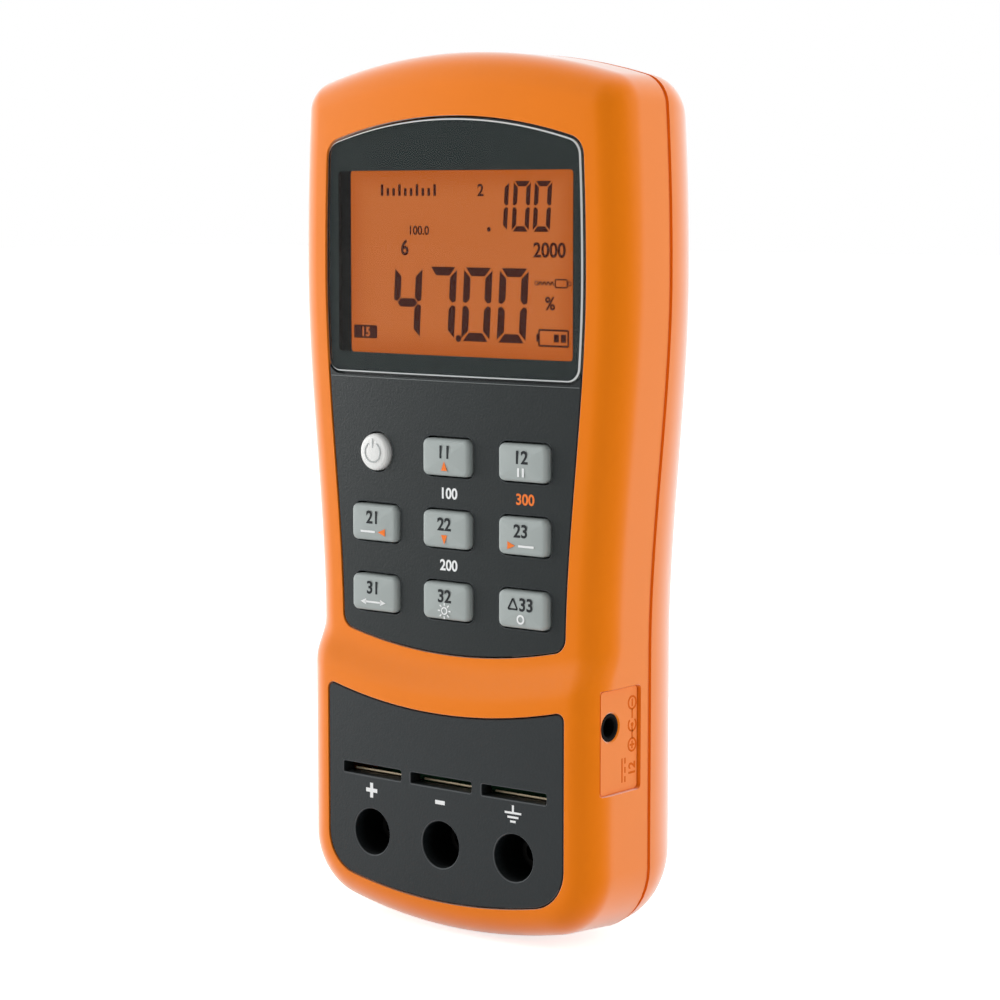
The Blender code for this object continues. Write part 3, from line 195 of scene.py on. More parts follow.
class Effects:
    """Shader node groups that the finishes share, each built once."""

    DRIFT_SCALE = 60.0
    # Noise scale and pointiness range of the edge rub and its painted highlight.
    RUB_HIGHLIGHT_SCALE = 400.0
    RUB_HIGHLIGHT_RANGE = (0.52, 0.62)
    SPECK_SCALE = 900.0
    DUST_COLOUR = (0.6, 0.57, 0.53, 1.0)
    PAINTED_SHADE_COLOUR = (0.0, 0.0, 0.0, 1.0)

    def __init__(self) -> None:
        """Build the groups."""
        self.grain = self._grain()
        self.mottle = self._mottle()
        self.edge_rub_light = self._rub_and_light_edges()
        self.dust = self._dust()
        # painted shade: wells and holes painted darker the deeper they lie
        self.recess = self._recess()

    @staticmethod
    def _group(name: str, inputs: dict[str, Value], outputs: tuple[str, ...]) -> tuple[Tree, Outputs, Inputs]:
        """Start a group.

        Args:
            name: The group's name.
            inputs: First value by socket name; four numbers make a colour.
            outputs: Socket names, of which Colour is a colour.

        Returns:
            The group, what comes into it and what goes out of it.
        """
        tree = bpy.data.node_groups.new(name, "ShaderNodeTree")
        for label, value in inputs.items():
            kind = "NodeSocketColor" if isinstance(value, tuple) else "NodeSocketFloat"
            tree.interface.new_socket(label, in_out="INPUT", socket_type=kind).default_value = value
        for label in outputs:
            kind = "NodeSocketColor" if label == "Colour" else "NodeSocketFloat"
            tree.interface.new_socket(label, in_out="OUTPUT", socket_type=kind)
        return tree, tree.nodes.new("NodeGroupInput").outputs, tree.nodes.new("NodeGroupOutput").inputs

    @staticmethod
    def _noise(tree: Tree, scale: Value, detail: float) -> Socket:
        """Add a noise texture in object space.

        Args:
            tree: The tree that gets it.
            scale: Cycles in a metre.
            detail: Octaves.

        Returns:
            The noise.
        """
        place = tree.nodes.new("ShaderNodeTexCoord")
        noise = tree.nodes.new("ShaderNodeTexNoise")
        noise.inputs["Detail"].default_value = detail
        feed(tree, noise.inputs["Scale"], scale)
        tree.links.new(place.outputs["Object"], noise.inputs["Vector"])
        return noise.outputs["Fac"]

    def _grain(self) -> Tree:
        """Build the fine texture of a spark-eroded mould, a height for Bump.

        Returns:
            The group.
        """
        tree, source, sink = self._group("moulded_grain", {"Scale": 2000.0}, ("Height",))
        tree.links.new(self._noise(tree, source["Scale"], 3.0), sink["Height"])
        return tree

    def _mottle(self) -> Tree:
        """Build a faint drift of colour and gloss over a moulding.

        Returns:
            The group.
        """
        tree, source, sink = self._group(
            "moulding_drift", {"Colour": WHITE, "Roughness": 0.5, "Amount": 0.05}, ("Colour", "Roughness")
        )
        centred = calculate(tree, "SUBTRACT", self._noise(tree, self.DRIFT_SCALE, 5.0), 0.5)
        swing = calculate(tree, "MULTIPLY", centred, source["Amount"])
        shade = tree.nodes.new("ShaderNodeHueSaturation")
        tree.links.new(source["Colour"], shade.inputs["Color"])
        tree.links.new(calculate(tree, "ADD", swing, 1.0), shade.inputs["Value"])
        tree.links.new(shade.outputs["Color"], sink["Colour"])
        tree.links.new(calculate(tree, "ADD", source["Roughness"], swing, clamp=True), sink["Roughness"])
        return tree

    def _rub_and_light_edges(self) -> Tree:
        """Build the pale rub of handled edges, broken up by noise, which is partly wear and partly a painted
        highlight along sharp edges.

        Returns:
            The group.
        """
        inputs = {"Colour": WHITE, "RubHighlightColour": WHITE, "Amount": 0.2}
        tree, source, sink = self._group("edge_rub_and_painted_highlight", inputs, ("Colour",))
        shape = tree.nodes.new("ShaderNodeNewGeometry")
        edge = tree.nodes.new("ShaderNodeMapRange")
        edge.inputs["From Min"].default_value, edge.inputs["From Max"].default_value = self.RUB_HIGHLIGHT_RANGE
        tree.links.new(shape.outputs["Pointiness"], edge.inputs["Value"])
        broken = calculate(tree, "MULTIPLY", edge.outputs["Result"], self._noise(tree, self.RUB_HIGHLIGHT_SCALE, 4.0))
        share = calculate(tree, "MULTIPLY", broken, source["Amount"])
        tree.links.new(blend(tree, share, source["Colour"], source["RubHighlightColour"]), sink["Colour"])
        return tree

    def _dust(self) -> Tree:
        """Build a thin veil of dust on faces that look up.

        Returns:
            The group.
        """
        tree, source, sink = self._group("settled_dust", {"Colour": WHITE, "Amount": 0.05}, ("Colour",))
        upward = split_axes(tree, "ShaderNodeNewGeometry", "Normal")["Z"]
        veil = calculate(tree, "MULTIPLY", upward, source["Amount"], clamp=True)
        speck = calculate(tree, "MULTIPLY", veil, self._noise(tree, self.SPECK_SCALE, 2.0))
        tree.links.new(blend(tree, speck, source["Colour"], self.DUST_COLOUR), sink["Colour"])
        return tree

    def _recess(self) -> Tree:
        """Build painted shade for wells and holes behind a bowed face: the colour is painted darker the
        deeper it lies along +Y.

        Returns:
            The group.
        """
        inputs = {"Colour": WHITE, "Front": 0.0, "Bow": 0.7576, "Reach": 0.003, "Amount": 0.9}
        tree, source, sink = self._group("painted_recess_shade_group", inputs, ("Colour",))
        place = split_axes(tree, "ShaderNodeTexCoord", "Object")
        fall = calculate(tree, "MULTIPLY", calculate(tree, "MULTIPLY", place["X"], place["X"]), source["Bow"])
        depth = calculate(tree, "SUBTRACT", place["Y"], calculate(tree, "ADD", fall, source["Front"]))
        part = calculate(tree, "DIVIDE", depth, source["Reach"], clamp=True)
        shade_share = calculate(tree, "MULTIPLY", part, source["Amount"])
        tree.links.new(blend(tree, shade_share, source["Colour"], self.PAINTED_SHADE_COLOUR), sink["Colour"])
        return tree


@cache
def shared_effects() -> Effects:
    """Give the groups that the finishes share, built at their first use."""
    return Effects()


@dataclass(frozen=True)
class Finish:
    """A surface: its colour, gloss, mould grain, drift, edge rub with a painted highlight, dust, painted
    shade in its recesses and a painted sheen where it turns away.
    """

    name: str
    colour: Colour
    roughness: float
    metallic: float = 0.0
    grain_scale: float = 2200.0
    grain_depth: float = 0.0
    drift: float = 0.06
    rub_highlight_colour: Colour = (0.8, 0.8, 0.8)
    rub_and_highlight: float = 0.0
    dust: float = 0.0
    coat: float = 0.0
    coat_roughness: float = 0.08
    specular: float = 0.5
    transmission: float = 0.0
    index: float = 1.5
    # Depth of the face on the middle line for the painted recess shade; 0 leaves it out.
    front: float = 0.0
    glow: Colour | None = None
    # Share of the painted sheen: the base colour paled towards white where the surface turns away from the
    # eye.
    painted_sheen: float = 0.0

    def material(self) -> Material:
        """Give the finish's material, made at its first use.

        Returns:
            The Blender material.
        """
        made = bpy.data.materials.get(self.name)
        if made is None:
            made = bpy.data.materials.new(self.name)
            made.use_nodes = True
            self.fill(made.node_tree, made.node_tree.nodes["Principled BSDF"].inputs)
        return made

    def fill(self, tree: Tree, inputs: Inputs) -> None:
        """Feed the shader.

        Args:
            tree: The material's tree.
            inputs: The shader's inputs.
        """
        for label, value in (
            ("Metallic", self.metallic), ("Coat Weight", self.coat), ("Coat Roughness", self.coat_roughness),
            ("Specular IOR Level", self.specular), ("Transmission Weight", self.transmission),
            ("IOR", self.index),
        ):
            inputs[label].default_value = value
        effects = shared_effects()
        values = {"Colour": (*self.colour, 1.0), "Roughness": self.roughness, "Amount": self.drift}
        drift = self.place(tree, effects.mottle, values)
        tree.links.new(drift["Roughness"], inputs["Roughness"])
        colour = drift["Colour"]
        for wanted, group, values in (
            # edge rub, partly wear and partly a painted highlight
            (self.rub_and_highlight, effects.edge_rub_light, {"RubHighlightColour": (*self.rub_highlight_colour, 1.0), "Amount": self.rub_and_highlight}),
            (self.dust, effects.dust, {"Amount": self.dust}),
            # painted shade, darker with depth behind the face
            (self.front, effects.recess, {"Front": self.front}),
        ):
            if wanted:
                colour = self.place(tree, group, {"Colour": colour, **values})["Colour"]
        if self.painted_sheen:
            colour = self._painted_edge_sheen(tree, colour)
        tree.links.new(colour, inputs["Base Color"])
        if self.grain_depth:
            bump = tree.nodes.new("ShaderNodeBump")
            bump.inputs["Strength"].default_value = 1.0
            bump.inputs["Distance"].default_value = self.grain_depth
            grain = self.place(tree, effects.grain, {"Scale": self.grain_scale})
            tree.links.new(grain["Height"], bump.inputs["Height"])
            tree.links.new(bump.outputs["Normal"], inputs["Normal"])
        if self.glow is not None:
            inputs["Emission Color"].default_value = (*self.glow, 1.0)
            inputs["Emission Strength"].default_value = 1.0

    def _painted_edge_sheen(self, tree: Tree, colour: Socket) -> Socket:
        """Paint a sheen: pale the base colour towards white where the surface turns away from the eye, a
        painted reflection.

        Args:
            tree: The material's tree.
            colour: The colour so far.

        Returns:
            The paled colour.
        """
        turn = tree.nodes.new("ShaderNodeLayerWeight")
        turn.inputs["Blend"].default_value = PAINTED_SHEEN_BLEND
        steep = calculate(tree, "POWER", turn.outputs["Facing"], PAINTED_SHEEN_POWER)
        return blend(tree, calculate(tree, "MULTIPLY", steep, self.painted_sheen), colour, WHITE)

    @staticmethod
    def place(tree: Tree, group: Tree, values: dict[str, Value]) -> Outputs:
        """Put a shared group in a material.

        Args:
            tree: The material's tree.
            group: The group.
            values: What feeds its inputs, by name.

        Returns:
            The group's outputs there.
        """
        node = tree.nodes.new("ShaderNodeGroup")
        node.node_tree = group
        for label, value in values.items():
            feed(tree, node.inputs[label], value)
        return node.outputs


@dataclass(frozen=True)
class LitGlass(Finish):
    """A lit display: one glow in the middle, which turns deeper towards the edges."""

    half_size: Point = (1.0, 1.0)
    middle_z: float = 0.0
    edge_fall: float = 0.0056
    deep_glow: Colour = (0.0, 0.0, 0.0)

    def fill(self, tree: Tree, inputs: Inputs) -> None:
        """Feed the shader.

        Args:
            tree: The material's tree.
            inputs: The shader's inputs.
        """
        place = split_axes(tree, "ShaderNodeTexCoord", "Object")
        reach = []
        for axis, centre, half in zip("XZ", (0.0, self.middle_z), self.half_size):
            span = tree.nodes.new("ShaderNodeMapRange")
            span.interpolation_type = "SMOOTHSTEP"
            span.inputs["From Min"].default_value = half - self.edge_fall
            span.inputs["From Max"].default_value = half
            off = calculate(tree, "SUBTRACT", place[axis], centre)
            tree.links.new(calculate(tree, "ABSOLUTE", off), span.inputs["Value"])
            reach.append(span.outputs["Result"])
        share = calculate(tree, "MAXIMUM", *reach)
        colour = blend(tree, share, (*self.glow, 1.0), (*self.deep_glow, 1.0))
        lit = self.place(tree, shared_effects().mottle, {"Colour": colour, "Amount": self.drift})
        tree.links.new(lit["Colour"], inputs["Emission Color"])
        for label, value in (
            ("Base Color", (*self.colour, 1.0)), ("Roughness", self.roughness),
            ("Specular IOR Level", self.specular), ("Emission Strength", 1.0),
        ):
            inputs[label].default_value = value


# The orange case has a painted sheen at its turned edges, besides its grain and dust.
ORANGE_CASE = Finish(
    "orange_case_moulding", tint(236, 124, 8), 0.42, grain_scale=2600.0, grain_depth=0.000012, drift=0.05,
    dust=0.05, specular=0.09, painted_sheen=0.9,
)
# Darker orange of the marks beside the inlet: painted shade that makes the raised strokes look engraved.
ORANGE_ENGRAVING_SHADE = Finish("orange_engraving_painted_shade", tint(212, 96, 16), 0.55, drift=0.06, specular=0.1)
# The charcoal panels get painted shade in their wells and holes through front.
PANEL_DARK = Finish(
    "charcoal_panel_moulding", tint(20, 27, 28), 0.38, grain_scale=1900.0, grain_depth=0.00005, drift=0.12,
    dust=0.04, specular=0.2, front=-0.0173,
)
TERMINAL_DARK = Finish(
    "charcoal_terminal_moulding", tint(31, 36, 38), 0.4, grain_scale=1900.0, grain_depth=0.00005, drift=0.12,
    dust=0.04, specular=0.2, front=-0.0201,
)
# Lighter charcoal on the rims of the panels' openings: a painted highlight.
OPENING_RIM_HIGHLIGHT = Finish("charcoal_rim_painted_highlight", tint(74, 78, 80), 0.45, drift=0.08, specular=0.3)
# Pale charcoal of the ridge under the lens: a painted highlight.
PANEL_RIDGE_HIGHLIGHT = Finish("charcoal_ridge_painted_highlight", tint(104, 109, 109), 0.45, drift=0.08, specular=0.3)
STAND_DARK = Finish(
    "charcoal_stand_moulding", tint(58, 60, 63), 0.5, grain_scale=2400.0, grain_depth=0.00002, drift=0.08,
    rub_highlight_colour=tint(110, 112, 114), rub_and_highlight=0.3, dust=0.05,
)
# The grey keys' pale edge rub is partly wear and partly a painted highlight along their edges.
KEY_GREY = Finish(
    "grey_key_cap", tint(155, 163, 161), 0.5, grain_scale=5200.0, grain_depth=0.000008, drift=0.05,
    rub_highlight_colour=tint(212, 214, 211), rub_and_highlight=0.5, specular=0.35,
)
KEY_PALE = Finish(
    "pale_key_cap", tint(222, 223, 221), 0.42, grain_scale=5200.0, grain_depth=0.000006, drift=0.04,
    rub_highlight_colour=tint(245, 245, 243), rub_and_highlight=0.3,
)
# Dark border print with a faint glow of its own: a painted glow, since nothing lights it.
LENS_BORDER_PAINTED_GLOW = Finish(
    "lens_border_print_painted_glow", tint(30, 34, 34), 0.4, drift=0.06, specular=0.0, glow=tint(22, 27, 27)
)
# Pale, glowing finish of the lens's chamfer: a painted highlight of its polished edge.
LENS_EDGE_PAINTED_HIGHLIGHT = Finish(
    "lens_edge_painted_highlight", tint(206, 211, 211), 0.16, drift=0.05, coat=0.5, glow=tint(52, 56, 56)
)
# Dark surround round the lit area: painted shade of the display's recess.
DISPLAY_SURROUND_SHADE = Finish("display_surround_painted_shade", tint(12, 13, 13), 0.6, drift=0.08, specular=0.05)
LENS_CLEAR = Finish("lens_clear_plate", (0.96, 0.97, 0.96), 0.04, drift=0.01, transmission=1.0, index=1.16)
SEGMENT_DARK = Finish(
    "display_segment", tint(36, 14, 10), 0.5, drift=0.05, specular=0.0, glow=tint(44, 14, 8)
)
SEGMENT_LIT = replace(SEGMENT_DARK, name="display_segment_lit", glow=tint(186, 100, 50))
PRINT_DARK = Finish("print_dark", tint(28, 32, 34), 0.5, drift=0.08, specular=0.15)
PRINT_PALE = Finish("print_pale", tint(232, 234, 234), 0.5, drift=0.04, specular=0.15)
PRINT_ORANGE = Finish("print_orange", tint(238, 122, 48), 0.5, drift=0.04, specular=0.15)
PRINT_FAINT = Finish("print_faint", tint(178, 183, 182), 0.5, drift=0.04, specular=0.15)
INKS = (PRINT_DARK, PRINT_PALE, PRINT_ORANGE, PRINT_FAINT)
WHITE_MOULDING = Finish("white_inner_moulding", tint(226, 225, 220), 0.45, drift=0.05)
BLACK_MOULDING = Finish(
    "black_inner_moulding", tint(20, 20, 21), 0.5, grain_depth=0.00001, drift=0.1, specular=0.1
)
# Black of the jack collar, darker than the other black moulding: partly its own colour, partly painted shade
# of the hole.
INLET_BLACK_SHADED = Finish("inlet_black_moulding_painted_shade", tint(9, 9, 10), 0.6, drift=0.1, specular=0.05)
BOARD_GREEN = Finish("board_solder_resist", tint(26, 92, 54), 0.35, drift=0.15, coat=0.3)
ELASTOMER = Finish("keypad_elastomer", tint(120, 121, 123), 0.75, drift=0.08)
TOOL_MARKS = 0.000004
BRASS = Finish("turned_brass", tint(214, 178, 110), 0.28, metallic=1.0, drift=0.12, grain_depth=TOOL_MARKS)
# The socket contacts and spring strips get painted shade with depth through front.
NICKEL = Finish(
    "dull_nickel", tint(120, 120, 117), 0.34, metallic=1.0, drift=0.12, grain_depth=TOOL_MARKS, front=-0.0168
)
SPRING_TAN = Finish(
    "spring_strip", tint(226, 206, 172), 0.4, metallic=0.2, drift=0.1, grain_depth=TOOL_MARKS, front=-0.0152
)
STEEL = Finish("plated_steel", tint(205, 204, 200), 0.3, metallic=1.0, drift=0.12, grain_depth=TOOL_MARKS)
# Dark crosses on the screw heads: painted shade that stands for their driver recesses.
DRIVER_RECESS_SHADE = Finish("driver_recess", tint(48, 48, 48), 0.45, metallic=0.6, drift=0.1)
BATTERY_WRAP = Finish("battery_wrap", tint(70, 78, 92), 0.35, drift=0.08, coat=0.3)
AMBER_GLASS = LitGlass(
    "amber_lit_glass", (0.02, 0.012, 0.008), 0.25, drift=0.05, specular=0.0,
    glow=tint(187, 98, 40), deep_glow=tint(176, 84, 18),
)

SIDES = ("left", "centre", "right")
CASE_SCREWS = tuple(f"case_screw_{number}" for number in range(1, 5))
BOARD_SCREWS = tuple(f"pcb_screw_{number}" for number in range(1, 5))
NODE_FINISHES: dict[str, Finish] = {
    "tilt_stand": STAND_DARK,
    "battery_cover": ORANGE_CASE,
    "main_pcb": BOARD_GREEN,
    "dc_jack_pin": BRASS,
    "battery": BATTERY_WRAP,
    **dict.fromkeys(("lcd_frame", "backlight"), WHITE_MOULDING),
    **dict.fromkeys(("zebra_strip_upper", "zebra_strip_lower", "keypad_mat"), ELASTOMER),
    **dict.fromkeys(("measuring_chip", "buzzer", "dc_jack", "battery_contacts"), BLACK_MOULDING),
    **dict.fromkeys(("battery_cover_screw", *CASE_SCREWS, *BOARD_SCREWS), STEEL),
    **{f"banana_socket_{side}": NICKEL for side in SIDES},
}


@dataclass(frozen=True)
class Outline:
    """A plate seen from the front: side walls, top and foot arcs, and rounded corners.

    An arc's radius is positive where it bulges outwards and negative where it is hollow.
    """

    half_width: Callable[[float], float]
    top_z: float
    top_radius: float
    top_corner: float
    foot_z: float
    foot_radius: float
    foot_corner: float
    side_step: float = 0.0016
    arc_steps: int = 20
    corner_steps: int = 9

    def _corner(self, upper: bool) -> tuple[float, float, float]:
        """Find a corner's centre and the angle where its arc starts.

        Args:
            upper: True for the top corner, False for the foot's.

        Returns:
            The centre's x and z, and the angle at which the corner meets the arc.
        """
        sign, edge, radius, corner = -1.0, self.foot_z, self.foot_radius, self.foot_corner
        if upper:
            sign, edge, radius, corner = 1.0, self.top_z, self.top_radius, self.top_corner
        arc_z = edge - sign * radius
        reach = radius - corner
        z = edge - sign * corner
        for _ in range(30):
            x = self.half_width(z) - corner
            z = arc_z + sign * math.copysign(math.sqrt(reach * reach - x * x), reach)
        return x, z, math.atan2((z - arc_z) / reach, x / reach)

    def points(self) -> list[tuple[float, float, float, float]]:
        """Give the whole outline, anticlockwise from the middle of the foot.

        Returns:
            Each point with its normal.
        """
        foot_x, foot_z, foot_angle = self._corner(False)
        top_x, top_z, top_angle = self._corner(True)
        right = []
        for k in range(self.arc_steps):
            angle = -math.pi / 2 + (foot_angle + math.pi / 2) * k / self.arc_steps
            right.append(self._round(0.0, self.foot_z + self.foot_radius, self.foot_radius, angle))
        for k in range(self.corner_steps):
            angle = foot_angle * (1.0 - k / self.corner_steps)
            right.append(self._round(foot_x, foot_z, self.foot_corner, angle))
        count = math.ceil((top_z - foot_z) / self.side_step)
        for k in range(count + 1):
            z = foot_z + (top_z - foot_z) * k / count
            slope = (self.half_width(z + WELD) - self.half_width(z - WELD)) / (2.0 * WELD)
            length = math.hypot(1.0, slope)
            right.append((self.half_width(z), z, 1.0 / length, -slope / length))
        for k in range(1, self.corner_steps + 1):
            right.append(self._round(top_x, top_z, self.top_corner, top_angle * k / self.corner_steps))
        for k in range(1, self.arc_steps + 1):
            angle = top_angle + (math.pi / 2 - top_angle) * k / self.arc_steps
            right.append(self._round(0.0, self.top_z - self.top_radius, self.top_radius, angle))
        return right + [(-x, z, -nx, nz) for x, z, nx, nz in reversed(right[1:-1])]

    @staticmethod
    def _round(x: float, z: float, radius: float, angle: float) -> tuple[float, float, float, float]:
        """Give a point of a circle with its normal."""
        nx, nz = math.cos(angle), math.sin(angle)
        return x + radius * nx, z + radius * nz, nx, nz

    def grown(self, growth: float) -> list[Point]:
        """Give the outline moved outwards by growth."""
        return [(x + nx * growth, z + nz * growth) for x, z, nx, nz in self.points()]


def ease(t: float) -> float:
    """Ease from 0 to 1 as t runs from 0 to 1."""
    t = min(max(t, 0.0), 1.0)
    return t * t * (3.0 - 2.0 * t)


def circle(diameter: float, steps: int = 40) -> list[Point]:
    """Give a circle about the origin, anticlockwise."""
    turn = 2.0 * math.pi / steps
    return [(diameter / 2 * math.cos(turn * k), diameter / 2 * math.sin(turn * k)) for k in range(steps)]


def rounded_rectangle(width: float, height: float, corner: float, steps: int = 8) -> list[Point]:
    """Give a rectangle with rounded corners about the origin, anticlockwise.

    Args:
        width: Along x.
        height: Along z.
        corner: The corners' radius.
        steps: Faces in a corner.

    Returns:
        The points.
    """
    points = []
    for quarter, (sx, sz) in enumerate(((1, 1), (-1, 1), (-1, -1), (1, -1))):
        for k in range(steps + 1):
            angle = (quarter + k / steps) * math.pi / 2
            x = sx * (width / 2 - corner) + corner * math.cos(angle)
            points.append((x, sz * (height / 2 - corner) + corner * math.sin(angle)))
    return points


def rectangle(low: Point, high: Point) -> list[Point]:
    """Give a rectangle from its lower and upper corner, anticlockwise."""
    return [low, (high[0], low[1]), high, (low[0], high[1])]


def moved(points: Iterable[Point], x: float, z: float) -> list[Point]:
    """Shift a flat outline by x and z."""
    return [(px + x, pz + z) for px, pz in points]


def flat_ring(points: Iterable[Point], y: float) -> list[Vector]:
    """Stand a flat outline at a depth."""
    return [Vector((x, y, z)) for x, z in points]


def side_ring(points: Iterable[Point], x: float) -> list[Vector]:
    """Stand an outline of y and z at an x."""
    return [Vector((x, y, z)) for y, z in points]


def band(bm: Mesh, loops: list[list[bmesh.types.BMVert]]) -> None:
    """Join each loop to the next one by a band of faces.

    Args:
        bm: The mesh that holds them.
        loops: Loops of equally many points.
    """
    for near, far in zip(loops, loops[1:]):
        for k in range(len(near)):
            after = (k + 1) % len(near)
            bm.faces.new((near[k], near[after], far[after], far[k]))


def loft(rings: Rings, open_end: bool = False, bm: Mesh | None = None) -> Mesh:
    """Join rings of equally many points into a skin.

    Args:
        rings: The rings in order.
        open_end: True leaves the last ring without a cap, for one that has shrunk to a line.
        bm: The mesh that gets the skin, or None for a new one.

    Returns:
        The closed mesh.
    """
    bm = bm or bmesh.new()
    loops = [[bm.verts.new(point) for point in ring] for ring in rings]
    band(bm, loops)
    bm.faces.new(loops[0])
    if not open_end:
        bm.faces.new(loops[-1])
    bmesh.ops.remove_doubles(bm, verts=bm.verts[:], dist=WELD)
    bmesh.ops.dissolve_degenerate(bm, edges=bm.edges[:], dist=WELD)
    bmesh.ops.recalc_face_normals(bm, faces=bm.faces[:])
    return bm


def closed_skin(rings: Rings) -> Mesh:
    """Join rings whose first and last have shrunk to a point.

    Args:
        rings: The rings in order.

    Returns:
        The closed mesh.
    """
    bm = loft(rings, open_end=True)
    lost = [face for face in bm.faces if face.calc_area() < WELD * WELD]
    bmesh.ops.delete(bm, geom=lost, context="FACES_ONLY")
    return bm


def hoop(rings: Rings) -> Mesh:
    """Join rings into a closed hoop, the last one back to the first.

    Args:
        rings: The rings in order.

    Returns:
        The closed mesh.
    """
    bm = bmesh.new()
    loops = [[bm.verts.new(point) for point in ring] for ring in rings]
    band(bm, loops + loops[:1])
    bmesh.ops.recalc_face_normals(bm, faces=bm.faces[:])
    return bm


def flat_prism(outlines: list[list[Point]], y_front: float, y_back: float) -> Mesh:
    """Draw flat outlines out along Y as one mesh.

    Args:
        outlines: The outlines, apart from each other.
        y_front: Where they start.
        y_back: Where they end.

    Returns:
        The mesh.
    """
    bm = bmesh.new()
    for points in outlines:
        ends = [[bm.verts.new((x, y, z)) for x, z in points] for y in (y_front, y_back)]
        for end in ends:
            bm.faces.new(end)
        band(bm, ends)
    bmesh.ops.recalc_face_normals(bm, faces=bm.faces[:])
    return bm


def middle(node: str) -> Point:
    """Give the x and z of a CAD piece's middle."""
    low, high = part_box(node)
    return (low[0] + high[0]) / 2, (low[2] + high[2]) / 2


def object_of(name: str, bm: Mesh) -> Piece:
    """Turn a bmesh into an object in the scene.

    Args:
        name: The object's name.
        bm: The mesh, which is used up.

    Returns:
        The object.
    """
    mesh = bpy.data.meshes.new(name)
    bm.to_mesh(mesh)
    bm.free()
    piece = bpy.data.objects.new(name, mesh)
    bpy.context.scene.collection.objects.link(piece)
    return piece


def carve(piece: Piece, tools: Iterable[Mesh], joined: Collection[Mesh] = ()) -> None:
    """Cut a piece by meshes and keep the result as its mesh.

    Args:
        piece: The object to shape.
        tools: The meshes, in order.
        joined: Those of them that are joined to the piece, not cut from it.
    """
    helpers = []
    for bm in tools:
        operation = "UNION" if bm in joined else "DIFFERENCE"
        helper = object_of(f"{piece.name}_helper", bm)
        helpers.append(helper)
        modifier = piece.modifiers.new(operation, "BOOLEAN")
        modifier.operation = operation
        modifier.solver = "EXACT"
        modifier.object = helper
    shaped = piece.evaluated_get(bpy.context.evaluated_depsgraph_get())
    mesh = bpy.data.meshes.new_from_object(shaped)
    piece.modifiers.clear()
    piece.data = mesh
    for helper in helpers:
        bpy.data.objects.remove(helper, do_unlink=True)


def is_chamfer(face: bpy.types.MeshPolygon) -> bool:
    """Tell whether a face slants away from the front."""
    return CHAMFER_TURN[0] < -face.normal.y < CHAMFER_TURN[1]


def dress(piece: Piece, *finishes: Finish, body: str = FIXED_BODY, angle: float = 28.0) -> None:
    """Shade a piece, give it its finishes and let it ride on a body.

    Args:
        piece: The piece.
        finishes: Its finishes, by material slot.
        body: The body that carries it.
        angle: Degrees from which an edge is sharp.
    """
    piece.data.shade_smooth()
    piece.data.set_sharp_from_angle(angle=math.radians(angle))
    for finish in finishes:
        piece.data.materials.append(finish.material())
    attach(piece, body)
    LOG.info("%s: %d faces on %s", piece.name, len(piece.data.polygons), body)


